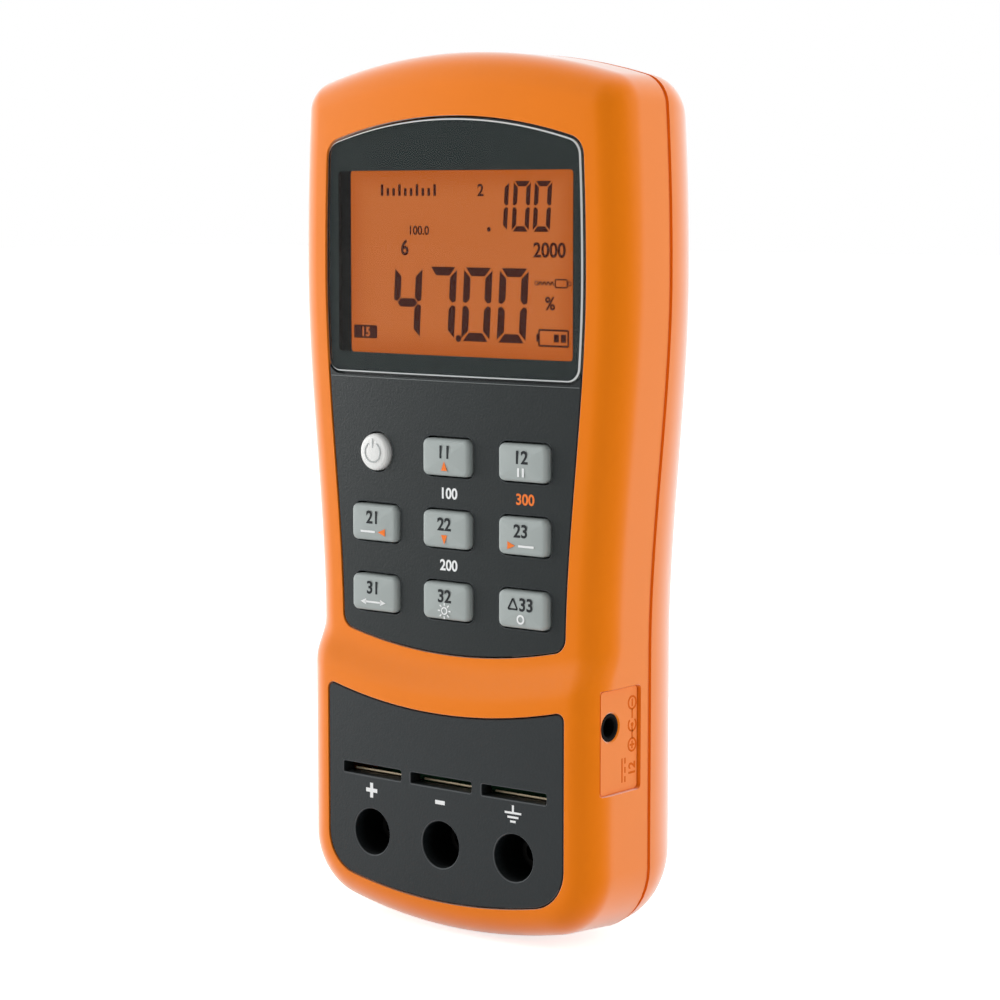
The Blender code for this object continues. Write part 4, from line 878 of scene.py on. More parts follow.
@dataclass(frozen=True)
class CaseShape:
    """Outer form that the two halves of the case share."""

    height: float = 0.184
    shoulder_width: float = 0.0874
    shoulder_z: float = 0.1381
    grip_width: float = 0.078
    grip_z: float = 0.0619
    crown_width: float = 0.0844
    top_radius: float = 0.141
    top_corner: float = 0.0068
    foot_radius: float = 0.1328
    foot_corner: float = 0.0142
    y_face: float = -0.0175
    y_seam: float = 0.0
    y_back: float = 0.0205
    wall: float = 0.0022
    front_fillet: float = 0.0065
    back_round: float = 0.0201
    face_bow: float = 0.660
    chin_draft: float = 0.00105
    chin_rise: float = 0.0003
    block_step: float = 0.003
    ramp_top_z: float = 0.0588
    ramp_run: float = 0.0086
    ramp_radius: float = 0.140

    def half_width(self, z: float) -> float:
        """Give half the case's width at a height.

        Args:
            z: The height.

        Returns:
            Half the width.
        """
        grip, shoulder, crown = self.grip_width / 2, self.shoulder_width / 2, self.crown_width / 2
        if z <= self.shoulder_z:
            return grip + (shoulder - grip) * ease((z - self.grip_z) / (self.shoulder_z - self.grip_z))
        rise = (z - self.shoulder_z) / (self.height - self.top_corner - self.shoulder_z)
        return shoulder - (shoulder - crown) * rise * rise

    def bow(self, x: float) -> float:
        """Give how far the bowed face falls back at x."""
        return x * x / (2.0 * self.face_bow)

    def face_y(self, x: float, z: float) -> float:
        """Give the depth of the front face, with the terminal block forward below the ramp."""
        ramp_top = self.ramp_top_z + x * x / (2.0 * self.ramp_radius)
        return self.y_face + self.bow(x) - self.block_step * ease((ramp_top - z) / self.ramp_run)

    def inset(self, margin: float) -> Callable[[float], float]:
        """Give the case's half width less a margin, by height."""
        return lambda z: self.half_width(z) - margin

    def ring(self, points: Iterable[Point], y: float) -> list[Vector]:
        """Lay a flat outline at a depth, bowed like the face."""
        return [Vector((x, y + self.bow(x), z)) for x, z in points]

    def face_rings(self, edge: list[Point], y: float, middle: float, count: int) -> Rings:
        """Give rings that close a bowed face from its edge to its middle.

        Args:
            edge: The face's outline.
            y: Its depth on the middle line.
            middle: Height of its middle.
            count: How many rings there are.

        Returns:
            The rings, of which the last has shrunk to a point.
        """
        rings = []
        for k in range(1, count + 1):
            share = 1.0 - k / count
            rings.append(self.ring([(x * share, middle + (z - middle) * share) for x, z in edge], y))
        return rings

    def path(self, inset: float, foot_draw: float, step: float) -> list[Point]:
        """Give the outline drawn in by a wall, and a little more along the foot.

        Args:
            inset: Distance from the outer skin.
            foot_draw: How much further the foot is drawn in.
            step: Spacing of the points along the sides.

        Returns:
            Points of the outline.
        """
        shape = Outline(
            self.half_width, self.height, self.top_radius, self.top_corner,
            0.0, self.foot_radius, self.foot_corner, side_step=step,
        )
        path = []
        for x, z, nx, nz in shape.points():
            drawn = inset + foot_draw * max(0.0, -nz)
            path.append((x - nx * drawn, z - nz * drawn))
        return path

    def shrunk(self, points: list[Point], share: float) -> list[Point]:
        """Draw a ring in towards the case's middle line.

        Args:
            points: The ring.
            share: 0 leaves it, 1 draws it onto the line.

        Returns:
            The ring drawn in.
        """
        low = self.half_width(0.0)
        high = self.height - self.half_width(self.height - self.top_corner)
        return [(x * (1.0 - share), z + (min(max(z, low), high) - z) * share) for x, z in points]


@dataclass
class CaseHalves:
    """The two orange halves, with windows, inlet, battery bay, stand channel and screw wells."""

    shape: CaseShape
    panel: Outline
    terminals: Outline
    fittings: "RearFittings"
    seam_depth: float = 0.0007
    seam_front: float = 0.00085
    seam_rear: float = 0.0001
    window_chamfer: float = 0.0001
    screw_inset: float = 0.0064
    screw_heights: tuple[float, float] = (0.158, 0.028)
    screw_head: float = 0.0056
    screw_hole: float = 0.003
    screw_seat: float = 0.005
    well_boss: float = 0.009
    inlet_z: float = 0.0481
    inlet_hole: float = 0.0058
    pad_size: Point = (0.0133, 0.0217)
    pad_centre: Point = (0.0077, 0.0451)
    pad_depth: float = 0.0008
    groove: float = 0.00028
    pad_corner: float = 0.001
    groove_corner: float = 0.0011
    hole_chamfer: float = 0.0003
    collar_sink: float = 0.00015
    collar_gap: float = 0.00005
    collar_wall: float = 0.0006
    collar_edge: float = 0.0001
    collar_throat: Point = (0.0003, 0.0004)
    lip_draw: Point = (0.0006, 0.0016)
    lip_reach: Point = (-0.0012, 0.0015)
    boss_steps: int = 16

    # On the outer and the inner skin.
    STEPS = (FINE_STEP, COARSE_STEP)
    WALL_RINGS = (12, 4)
    WALL_START = (0.88, 1.0)
    WALL_PITCH = (0.08, 0.25)
    FILLET_STEPS = (14, 4)
    FACE_RINGS = (16, 5)
    BACK_STEPS = (22, 6)

    def front_rings(self, inset: float) -> Rings:
        """Give the rings of the front half's skin, from the seam to the middle of its face.

        Args:
            inset: Distance from the outer skin.

        Returns:
            The rings.
        """
        s, skin = self.shape, int(inset > 0.0)
        step = self.STEPS[skin]
        fillet = s.front_fillet - inset
        if inset:
            rings = [flat_ring(s.path(inset, 0.0, step), s.y_seam + OVERRUN)]
        else:
            drawn = s.path(self.seam_depth, 0.0, step)
            y_turn = s.y_seam - self.seam_front
            rings = [flat_ring(drawn, s.y_seam), flat_ring(drawn, y_turn)]
            rings.append(flat_ring(s.path(0.0, 0.0, step), y_turn))
        for k in range(self.WALL_RINGS[skin]):
            share = self.WALL_START[skin] - self.WALL_PITCH[skin] * k
            ahead = 1.0 - share
            path = s.path(inset, s.chin_draft * ahead, step)
            rings.append([
                Vector((x, s.y_seam * share + (s.face_y(x, z) + s.front_fillet) * ahead, z)) for x, z in path
            ])
        steps = self.FILLET_STEPS[skin]
        for k in range(steps + 1):
            angle = math.pi / 2 * k / steps
            path = s.path(inset + fillet * (1.0 - math.cos(angle)), s.chin_draft, step)
            sunk = s.front_fillet - fillet * math.sin(angle)
            rings.append([Vector((x, s.face_y(x, z) + sunk, z)) for x, z in path])
        edge = s.path(s.front_fillet, s.chin_draft, step)
        count = self.FACE_RINGS[skin]
        for k in range(1, count + 1):
            rings.append([Vector((x, s.face_y(x, z) + inset, z)) for x, z in s.shrunk(edge, k / count)])
        return rings

    def rear_rings(self, inset: float) -> Rings:
        """Give the rings of the rear half's skin, from the seam to the flat back.

        Args:
            inset: Distance from the outer skin.

        Returns:
            The rings.
        """
        s, skin = self.shape, int(inset > 0.0)
        y_start = s.y_seam + CLEARANCE
        rounding = min(s.back_round, s.y_back - y_start - self.seam_rear)
        y_turn = s.y_back - rounding
        step, steps = self.STEPS[skin], self.BACK_STEPS[skin]
        path = s.path(inset, s.chin_rise, step)
        if inset:
            rings = [flat_ring(path, y_start - OVERRUN)]
        else:
            drawn = s.path(self.seam_depth, s.chin_rise, step)
            rings = [flat_ring(drawn, y) for y in (y_start, y_start + self.seam_rear)]
        share = (rounding - inset) / (s.grip_width / 2 - inset)
        for k in range(steps + 1):
            angle = math.pi / 2 * k / steps
            ring = s.shrunk(path, share * (1.0 - math.cos(angle)))
            rings.append(flat_ring(ring, y_turn + (rounding - inset) * math.sin(angle)))
        return rings

    def window(self, outline: Outline) -> Mesh:
        """Give a cutter for a panel's window, with a small chamfer where it leaves the face.

        Args:
            outline: The panel's outline.

        Returns:
            The cutter.
        """
        s = self.shape
        levels = (
            (CLEARANCE + self.window_chamfer + OVERRUN, -OVERRUN),
            (CLEARANCE, self.window_chamfer),
            (CLEARANCE, s.wall + OVERRUN),
        )
        edge = [point for point in outline.points() if abs(point[0]) > WELD]
        return loft([
            [Vector((x + nx * growth, s.face_y(x, z) + depth, z + nz * growth)) for x, z, nx, nz in edge]
            for growth, depth in levels
        ])

    def screw_places(self) -> list[Point]:
        """Give the x and z of the four case screws."""
        inner = self.shape.inset(self.screw_inset)
        return [(side * inner(z), z) for z in self.screw_heights for side in (1, -1)]

    @property
    def pad_x(self) -> float:
        """Give the plane of the inlet's pad."""
        return self.shape.half_width(self.pad_centre[1]) - self.pad_depth

    @property
    def inlet_y(self) -> float:
        """Give the depth of the inlet's axis."""
        low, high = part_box("dc_jack_pin")
        return (low[1] + high[1]) / 2

    def build_front(self) -> Piece:
        """Build the front half.

        Returns:
            The shell.
        """
        s = self.shape
        piece = object_of("front_case_shell", loft(self.front_rings(0.0), open_end=True))
        hollow = loft(self.front_rings(s.wall), open_end=True)
        pad = flat_prism([rounded_rectangle(*self.pad_size, self.pad_corner)], 0.0, self.pad_depth + OVERRUN)
        turned = Matrix.Rotation(-math.pi / 2, 4, "Z")
        place = (self.pad_x, s.y_face + self.pad_centre[0], self.pad_centre[1])
        pad.transform(Matrix.Translation(place) @ turned)
        mouth = loft([
            flat_ring(circle(self.inlet_hole + 2 * grown), y)
            for grown, y in (
                (0.0, -s.wall - OVERRUN), (0.0, -self.hole_chamfer), (self.hole_chamfer, 0.0),
                (self.hole_chamfer, self.pad_depth + OVERRUN),
            )
        ])
        mouth.transform(Matrix.Translation((self.pad_x, self.inlet_y, self.inlet_z)) @ turned)
        windows = [self.window(self.panel), self.window(self.terminals)]
        carve(piece, [hollow, *windows, pad, self.pad_groove(), mouth])
        return piece

    def pad_groove(self) -> Mesh:
        """Give a cutter for the fine groove round the inlet's pad, from where it runs out of the fillet.

        Returns:
            The cutter.
        """
        s = self.shape
        reach = math.sqrt(s.front_fillet**2 - (s.front_fillet - self.pad_depth) ** 2)
        y_near = s.face_y(self.pad_x, self.pad_centre[1]) + s.front_fillet - reach
        y_far = s.y_face + self.pad_centre[0] + self.pad_size[0] / 2
        y, z = (y_near + y_far) / 2, self.pad_centre[1]
        rings = []
        for drawn, x in (
            (0.0, -self.groove), (0.0, self.groove), (self.groove, self.groove), (self.groove, -self.groove)
        ):
            width, height = y_far - y_near - 2 * drawn, self.pad_size[1] - 2 * drawn
            shape = rounded_rectangle(width, height, self.groove_corner - drawn)
            rings.append(side_ring(moved(shape, y, z), self.pad_x + x))
        return hoop(rings)

    def inlet_collar(self) -> Piece:
        """Build the jack's black collar, which fills the hole to just under the pad; its extra-dark black is
        partly its own colour and partly painted shade of the hole.

        Returns:
            The collar.
        """
        front = self.pad_x - self.collar_sink
        back = front - self.shape.wall
        outer = self.inlet_hole / 2 - self.collar_gap
        inner = outer - self.collar_wall
        throat, x_throat = inner - self.collar_throat[0], front - self.collar_throat[1]
        rings = []
        for radius, x in (
            (outer, back), (outer, front - self.collar_edge), (outer - self.collar_edge, front),
            (inner, front), (throat, x_throat), (throat, back),
        ):
            rings.append(side_ring(moved(circle(2 * radius), self.inlet_y, self.inlet_z), x))
        return object_of("dc_jack_collar", hoop(rings))

    def build_rear(self) -> Piece:
        """Build the rear half, cut for its fittings.

        Returns:
            The shell.
        """
        s = self.shape
        piece = object_of("rear_case_shell", loft(self.rear_rings(0.0)))
        hollow = object_of("rear_hollow", loft(self.rear_rings(s.wall)))
        bosses = [self._boss(x, z) for x, z in self.screw_places()]
        pillars = flat_prism(bosses, s.y_seam - 2 * OVERRUN, s.y_back + OVERRUN)
        carve(hollow, [pillars, self.fittings.bed()])
        inner = bmesh.new()
        inner.from_mesh(hollow.data)
        bpy.data.objects.remove(hollow, do_unlink=True)
        y_seat = s.y_seam + CLEARANCE + self.screw_seat
        heads = [moved(circle(self.screw_head + 2 * CLEARANCE), x, z) for x, z in self.screw_places()]
        holes = [moved(circle(self.screw_hole + 2 * CLEARANCE), x, z) for x, z in self.screw_places()]
        wells = flat_prism(heads, y_seat, s.y_back + OVERRUN)
        shafts = flat_prism(holes, s.y_seam - OVERRUN, y_seat + OVERRUN)
        carve(piece, [inner, *self.fittings.cutters(), wells, shafts])
        return piece

    def _boss(self, x: float, z: float) -> list[Point]:
        """Give a round boss carried out to the side wall.

        Args:
            x: The screw's place.
            z: The screw's place.

        Returns:
            The boss's outline.
        """
        side = math.copysign(1.0, x)
        wall_x = side * (self.shape.half_width(z) - self.shape.wall / 2)
        radius = self.well_boss / 2
        arc = [math.pi / 2 + math.pi * k / self.boss_steps for k in range(self.boss_steps + 1)]
        points = [(x + side * radius * math.cos(a), z + radius * math.sin(a)) for a in arc]
        return points + [(wall_x, z - radius), (wall_x, z + radius)]

    def build(self) -> None:
        """Build and dress both halves, the lip that closes the seam between them and the inlet's collar."""
        s = self.shape
        front = self.build_front()
        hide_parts("front_case")
        dress(front, ORANGE_CASE)
        rear = self.build_rear()
        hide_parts("rear_case")
        dress(rear, ORANGE_CASE)
        (outer, inner), (near, far) = self.lip_draw, self.lip_reach
        rings = [
            flat_ring(s.path(drawn, s.chin_rise, FINE_STEP), s.y_seam + y)
            for drawn, y in ((outer, near), (outer, far), (inner, far), (inner, near))
        ]
        dress(object_of("seam_lip", hoop(rings)), ORANGE_CASE)
        dress(self.inlet_collar(), INLET_BLACK_SHADED)


@dataclass
class RearFittings:
    """Battery bay, stand channel and small trim in the back of the case."""

    shape: CaseShape
    cover: tuple[Vector, Vector] = field(default_factory=partial(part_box, "battery_cover"))
    stand: tuple[Vector, Vector] = field(default_factory=partial(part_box, "tilt_stand"))
    stand_leg: float = 0.0054
    stand_foot: float = 0.0066
    stand_corner: float = 0.003
    peg_length: float = 0.002
    peg: float = 0.002
    bed_wall: float = 0.0022
    swing_room: float = 0.0034
    hinge: Point = (0.0182, 0.1012)
    bed_headroom: float = 0.0056
    seat_corner: float = 0.0023
    thumb_notch: float = 0.014
    ridges: int = 6
    ridge_start: float = 0.008
    ridge_pitch: float = 0.0028
    ridge_share: Point = (0.62, 0.03)
    ridge_height: float = 0.0011
    rib_height: float = 0.0012
    rib_ends: float = 0.012
    proud: float = 0.0003
    recess_film: float = 0.0002
    case_recess: float = 0.0034
    cover_recess: float = 0.003
    recess_sink: float = 0.00016
    recess_arm: float = 3.5
    bend_steps: int = 8

    # How far a bar is drawn in and stands out, as shares of its height.
    BAR_PROFILE = ((0.0, -2 / 3), (0.0, 0.4), (0.5, 0.85), (1.0, 1.0))

    def bed(self) -> Mesh:
        """Give the block that stays solid under the stand and round the battery.

        Returns:
            The block.
        """
        rim = self.stand[1][0] + CLEARANCE + self.bed_wall
        y_low = self.stand[0][1] - CLEARANCE - self.bed_wall
        top = self.hinge[1] + self.bed_headroom
        return flat_prism([rectangle((-rim, 0.0), (rim, top))], y_low, self.shape.y_back + OVERRUN)

    def bail(self, growth: float, headroom: float) -> list[Point]:
        """Give the U-shaped bail's outline.

        Args:
            growth: How far it is grown.
            headroom: How far it goes on over the hinge.

        Returns:
            The outline.
        """
        outer = self.stand[1][0] - self.peg_length
        inner = outer - self.stand_leg - growth
        outer += growth
        foot = self.stand[0][2] - growth
        top = self.hinge[1] + headroom
        corner = self.stand_corner + growth
        turns = [math.pi / 2 * k / self.bend_steps for k in range(self.bend_steps + 1)]
        leg = [(outer - corner + corner * math.sin(a), foot + corner - corner * math.cos(a)) for a in turns]
        leg += [(outer, top), (inner, top), (inner, self.stand[0][2] + self.stand_foot + growth)]
        return leg + [(-x, z) for x, z in reversed(leg)]

    def cutters(self) -> list[Mesh]:
        """Give the cutters of the cover's seat, the stand's channel, its peg holes and the thumb notch.

        Returns:
            The cutters.
        """
        low, high = self.cover
        y_end = self.shape.y_back + OVERRUN
        middle = (low[2] + high[2]) / 2
        width, height = high[0] - low[0] + 2 * CLEARANCE, high[2] - low[2] + 2 * CLEARANCE
        seat = rounded_rectangle(width, height, self.seat_corner)
        y_channel = self.stand[0][1] - CLEARANCE
        reach = self.stand[1][0] + CLEARANCE
        peg = moved(circle(self.peg + 2 * CLEARANCE), *self.hinge)
        bay_low, bay_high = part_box("battery")
        bay_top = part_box("battery_contacts")[1][2] + CLEARANCE
        bay = rectangle(
            (bay_low[0] - CLEARANCE, bay_low[2] - CLEARANCE), (bay_high[0] + CLEARANCE, bay_top)
        )
        return [
            flat_prism([moved(seat, 0.0, middle)], low[1] - CLEARANCE, y_end),
            flat_prism([self.bail(CLEARANCE, self.swing_room)], y_channel, y_end),
            loft([side_ring(peg, x) for x in (-reach, reach)]),
            flat_prism([moved(circle(self.thumb_notch), 0.0, self.stand[0][2])], y_channel, y_end),
            flat_prism([bay], 0.0, y_end),
        ]

    def build(self) -> None:
        """Build the cover's finger ridges, the stand's rib and the dark crosses on the screw heads, painted
        shade that stands for their driver recesses.
        """
        low, high = self.cover
        bm = bmesh.new()
        for k in range(self.ridges):
            width = (high[0] - low[0]) * (self.ridge_share[0] - self.ridge_share[1] * k)
            z = low[2] + self.ridge_start + self.ridge_pitch * k
            self._bar(bm, (0.0, high[1], z), (width, self.ridge_height))
        dress(object_of("battery_cover_ridges", bm), ORANGE_CASE)
        low, high = self.stand
        bm = bmesh.new()
        leg_x = high[0] - self.peg_length - self.stand_leg / 2
        size = (2 * leg_x - self.rib_ends, self.rib_height)
        self._bar(bm, (0.0, high[1], low[2] + self.stand_foot / 2), size)
        dress(object_of("tilt_stand_rib", bm), STAND_DARK, body=STAND_BODY)
        for screw in CASE_SCREWS:
            self._recess(screw, self.case_recess)
        self._recess("battery_cover_screw", self.cover_recess)

    def _bar(self, bm: Mesh, place: Corner, size: Point) -> None:
        """Add a low rounded bar on a face that looks along +Y.

        Args:
            bm: The mesh that gets it.
            place: Its middle, on the face.
            size: Its width and height.
        """
        width, height = size
        x, y, z = place
        rings = []
        for drawn, out in self.BAR_PROFILE:
            drawn, out = drawn * self.proud, out * self.proud
            shape = rounded_rectangle(width - 2 * drawn, height - 2 * drawn, height / 2 - drawn - WELD)
            rings.append(flat_ring(moved(shape, x, z), y + out))
        loft(rings, bm=bm)

    def _recess(self, node: str, span: float) -> None:
        """Paint a dark cross on a screw's head, painted shade that stands for its driver recess.

        Args:
            node: The screw.
            span: Width of the cross.
        """
        x, z = middle(node)
        mark = Print(self.recess_film)
        mark.cross((0.0, 0.0), span / 2, span / self.recess_arm, Ink.DARK)
        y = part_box(node)[1][1] - self.recess_sink
        place = Matrix.Translation((x, y, z)) @ Matrix.Rotation(math.pi, 4, "Z")
        mark.finish(f"{node}_recess", place, [DRIVER_RECESS_SHADE])


class Print:
    """Thin printed marks on a flat place, drawn in u to the right and v up."""

    FIGURE_SHARE = 0.7
    BOLDNESS = 0.035
    RING_STEP = 12
    LEAST_STEPS = 6

    def __init__(self, thickness: float = 0.00004) -> None:
        """Start with nothing printed."""
        self.bm = bmesh.new()
        self.thickness = thickness

    def polygon(self, points: list[Point], ink: Ink) -> None:
        """Print a filled polygon.

        Args:
            points: Its corners, anticlockwise.
            ink: The colour.
        """
        top = [self.bm.verts.new((u, -self.thickness, v)) for u, v in points]
        foot = [self.bm.verts.new((u, 0.0, v)) for u, v in points]
        faces = [self.bm.faces.new(top), self.bm.faces.new(list(reversed(foot)))]
        for k in range(len(points)):
            after = (k + 1) % len(points)
            faces.append(self.bm.faces.new((top[k], foot[k], foot[after], top[after])))
        for face in faces:
            face.material_index = ink.value

    def bar(self, start: Point, end: Point, width: float, ink: Ink) -> None:
        """Print a straight stroke with square ends."""
        across = Vector((start[1] - end[1], end[0] - start[0])).normalized() * width / 2
        self.polygon(moved((start, end), *(-across)) + moved((end, start), *across), ink)

    def cross(self, centre: Point, reach: float, width: float, ink: Ink) -> None:
        """Print an upright cross with square ends.

        Args:
            centre: Its middle.
            reach: Length of an arm.
            width: Of an arm.
            ink: The colour.
        """
        u, v = centre
        arm = width / 2
        corners = [
            (reach, -arm), (reach, arm), (arm, arm), (arm, reach), (-arm, reach), (-arm, arm),
            (-reach, arm), (-reach, -arm), (-arm, -arm), (-arm, -reach), (arm, -reach), (arm, -arm),
        ]
        self.polygon(moved(corners, u, v), ink)

    def ring(
        self, centre: Point, radius: float, width: float, ink: Ink, start: float = 0.0, turn: float = 360.0
    ) -> None:
        """Print a ring or part of one.

        Args:
            centre: Its middle.
            radius: To the middle of the stroke.
            width: Of the stroke.
            ink: The colour.
            start: Angle in degrees where it starts.
            turn: Degrees that it turns through.
        """
        steps = max(self.LEAST_STEPS, int(turn / self.RING_STEP))
        for k in range(steps):
            angles = [math.radians(start + turn * j / steps) for j in (k, k + 1)]
            inner, outer = radius - width / 2, radius + width / 2
            corners = [(outer, angles[0]), (outer, angles[1]), (inner, angles[1]), (inner, angles[0])]
            self.polygon(moved([(r * math.cos(a), r * math.sin(a)) for r, a in corners], *centre), ink)

    def frame(self, corners: list[Point], width: float, ink: Ink) -> None:
        """Print the strokes that join corners in a closed line."""
        for start, end in zip(corners, corners[1:] + corners[:1]):
            self.bar(start, end, width, ink)

    def arrow(self, centre: Point, size: float, way: Arrow, ink: Ink) -> None:
        """Print a solid arrowhead."""
        corners = [way.value + turn for turn in (0.0, math.radians(135.0), math.radians(225.0))]
        self.polygon(moved([(size * math.cos(a), size * math.sin(a)) for a in corners], *centre), ink)

    def number(self, text: str, centre: Point, size: float, ink: Ink, lift: float = 0.0) -> None:
        """Print a plain number in the built-in face.

        Args:
            text: Digits and signs.
            centre: Middle of the number.
            size: Height of its digits.
            ink: The colour.
            lift: How far it stands in front of the place it is printed on.
        """
        curve = bpy.data.curves.new("number", "FONT")
        curve.body = text
        curve.size = size / self.FIGURE_SHARE
        curve.align_x = "CENTER"
        curve.offset = size * self.BOLDNESS
        curve.extrude = self.thickness / 2
        carrier = bpy.data.objects.new("number", curve)
        bpy.context.scene.collection.objects.link(carrier)
        shaped = carrier.evaluated_get(bpy.context.evaluated_depsgraph_get())
        mesh = bpy.data.meshes.new_from_object(shaped)
        place = Matrix.Translation((centre[0], -self.thickness / 2 - lift, centre[1] - size / 2))
        mesh.transform(place @ Matrix.Rotation(math.pi / 2, 4, "X"))
        known = len(self.bm.faces)
        self.bm.from_mesh(mesh)
        self.bm.faces.ensure_lookup_table()
        for face in self.bm.faces[known:]:
            face.material_index = ink.value
        bpy.data.objects.remove(carrier, do_unlink=True)
        bpy.data.meshes.remove(mesh)

    def finish(
        self, name: str, place: Matrix, finishes: Iterable[Finish], body: str = FIXED_BODY,
        bow: Callable[[float], float] | None = None,
    ) -> None:
        """Put the print on the object.

        Args:
            name: The piece's name.
            place: From the print's plane to the frame.
            finishes: One for each ink.
            body: The body that carries it.
            bow: How far the face that carries it falls back at an x, where it isn't flat.
        """
        self.bm.transform(place)
        if bow is not None:
            for vert in self.bm.verts:
                vert.co.y += bow(vert.co.x)
        dress(object_of(name, self.bm), *finishes, body=body)


@dataclass
class Keys:
    """Nine caps with rounded edges and a crowned top, and their printed marks."""

    edge: float = 0.0009
    crown: float = 0.00025
    corner: float = 0.0014
    rim: float = 0.0009
    rim_thickness: float = 0.001
    skirt: float = 0.0008
    edge_steps: int = 6
    crown_rings: int = 5
    round_faces: int = 48
    corner_faces: int = 6
    smallest_corner: float = 0.0003
    print_sink: float = 0.00003
    number_v: float = 0.0012
    number_height: float = 0.0026
    sign_v: float = -0.0019
    arrow: float = 0.00115
    small_arrow: float = 0.0009
    arrow_u: float = 0.0026
    power_ring: float = 0.0021
    power_turn: Point = (120.0, 300.0)
    power_line: Point = (0.0009, 0.0029)
    power_stroke: float = 0.00026
    pause_u: float = 0.0006
    pause_v: float = 0.0009
    pause_stroke: float = 0.0005
    dash_u: Point = (-0.0034, 0.0006)
    shaft_u: float = 0.0022
    sun_ring: float = 0.0007
    sun_rays: Point = (0.0011, 0.0017)
    delta: tuple[Point, ...] = ((-0.0032, 0.0001), (-0.0008, 0.0001), (-0.002, 0.0023))
    delta_stroke: float = 0.00038
    delta_shift: float = 0.0014
    zero_ring: float = 0.0008
    bar: float = 0.00045
    stroke: float = 0.0004
    fine_stroke: float = 0.0003

    NUMBERS = {
        "key_up": "11", "key_hold": "12", "key_left": "21", "key_down": "22", "key_right": "23",
        "key_mode": "31", "key_light": "32", "key_zero": "33",
    }
    NAMES = ("key_power", *NUMBERS)

    def cap_outline(self, name: str, growth: float) -> list[Point]:
        """Give a cap's outline, evenly divided.

        Args:
            name: The key.
            growth: How far it is grown.

        Returns:
            The outline about its middle.
        """
        low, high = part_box(name)
        width, height = high[0] - low[0] - 2 * self.rim, high[2] - low[2] - 2 * self.rim
        if name == "key_power":
            return circle(width + 2 * growth, self.round_faces)
        corner = max(self.corner + growth, self.smallest_corner)
        return rounded_rectangle(width + 2 * growth, height + 2 * growth, corner, self.corner_faces)

    def hole(self, name: str, gap: float, growth: float) -> list[Point]:
        """Give the outline of a key's hole in the panel, grown by an amount."""
        return moved(self.cap_outline(name, gap + growth), *middle(name))

    def build_cap(self, name: str) -> Piece:
        """Build one cap where its CAD node is.

        Args:
            name: The key.

        Returns:
            The cap.
        """
        x, z = middle(name)
        front, back = (corner[1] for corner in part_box(name))
        levels = [(self.rim, back), (self.rim, back - self.rim_thickness), (0.0, back - self.rim_thickness)]
        levels.append((0.0, front + self.crown + self.edge + self.skirt))
        for k in range(self.edge_steps + 1):
            angle = math.pi / 2 * k / self.edge_steps
            drawn = self.edge * (1.0 - math.cos(angle))
            levels.append((-drawn, front + self.crown + self.edge * (1.0 - math.sin(angle))))
        rings = [flat_ring(moved(self.cap_outline(name, grown), x, z), y) for grown, y in levels]
        top = self.cap_outline(name, -self.edge)
        y_top = front + self.crown
        for k in range(1, self.crown_rings):
            share = 1.0 - k / self.crown_rings
            lift = self.crown * (1.0 - share * share)
            rings.append([Vector((x + px * share, y_top - lift, z + pz * share)) for px, pz in top])
        return object_of(f"{name}_cap", loft(rings))

    def marks(self, name: str) -> Print:
        """Draw a key's marks about its middle.

        Args:
            name: The key.

        Returns:
            The print.
        """
        ink = Print()
        v = self.sign_v
        if name in self.NUMBERS:
            shift = self.delta_shift if name == "key_zero" else 0.0
            ink.number(self.NUMBERS[name], (shift, self.number_v), self.number_height, Ink.DARK)
        if name == "key_power":
            ink.ring((0.0, 0.0), self.power_ring, self.power_stroke, Ink.FAINT, *self.power_turn)
            foot, top = self.power_line
            ink.bar((0.0, foot), (0.0, top), self.power_stroke, Ink.FAINT)
        elif name in ("key_up", "key_down"):
            ink.arrow((0.0, v), self.arrow, Arrow.UP if name == "key_up" else Arrow.DOWN, Ink.ORANGE)
        elif name == "key_hold":
            for u in (-self.pause_u, self.pause_u):
                ink.bar((u, v - self.pause_v), (u, v + self.pause_v), self.pause_stroke, Ink.PALE)
        elif name in ("key_left", "key_right"):
            side, way = (1, Arrow.LEFT) if name == "key_left" else (-1, Arrow.RIGHT)
            ink.bar((side * self.dash_u[0], v), (side * self.dash_u[1], v), self.bar, Ink.PALE)
            ink.arrow((side * self.arrow_u, v), self.arrow, way, Ink.ORANGE)
        elif name == "key_mode":
            ink.bar((-self.shaft_u, v), (self.shaft_u, v), self.stroke, Ink.PALE)
            ink.arrow((-self.arrow_u, v), self.small_arrow, Arrow.LEFT, Ink.PALE)
            ink.arrow((self.arrow_u, v), self.small_arrow, Arrow.RIGHT, Ink.PALE)
        elif name == "key_light":
            ink.ring((0.0, v), self.sun_ring, self.fine_stroke, Ink.PALE)
            for k in range(8):
                du, dv = math.cos(math.pi / 4 * k), math.sin(math.pi / 4 * k)
                ends = [(du * reach, v + dv * reach) for reach in self.sun_rays]
                ink.bar(*ends, self.fine_stroke, Ink.PALE)
        else:
            ink.frame(list(self.delta), self.delta_stroke, Ink.DARK)
            ink.ring((0.0, v), self.zero_ring, self.stroke, Ink.PALE)
        return ink

    def build(self) -> None:
        """Build, dress and print every key."""
        for name in self.NAMES:
            cap = self.build_cap(name)
            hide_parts(name)
            slot, finish = ("key_pale", KEY_PALE) if name == "key_power" else ("key_grey", KEY_GREY)
            dress(cap, finish, body=name, angle=40.0)
            x, z = middle(name)
            place = Matrix.Translation((x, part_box(name)[0][1] + self.print_sink, z))
            self.marks(name).finish(f"{name}_print", place, INKS, body=name)


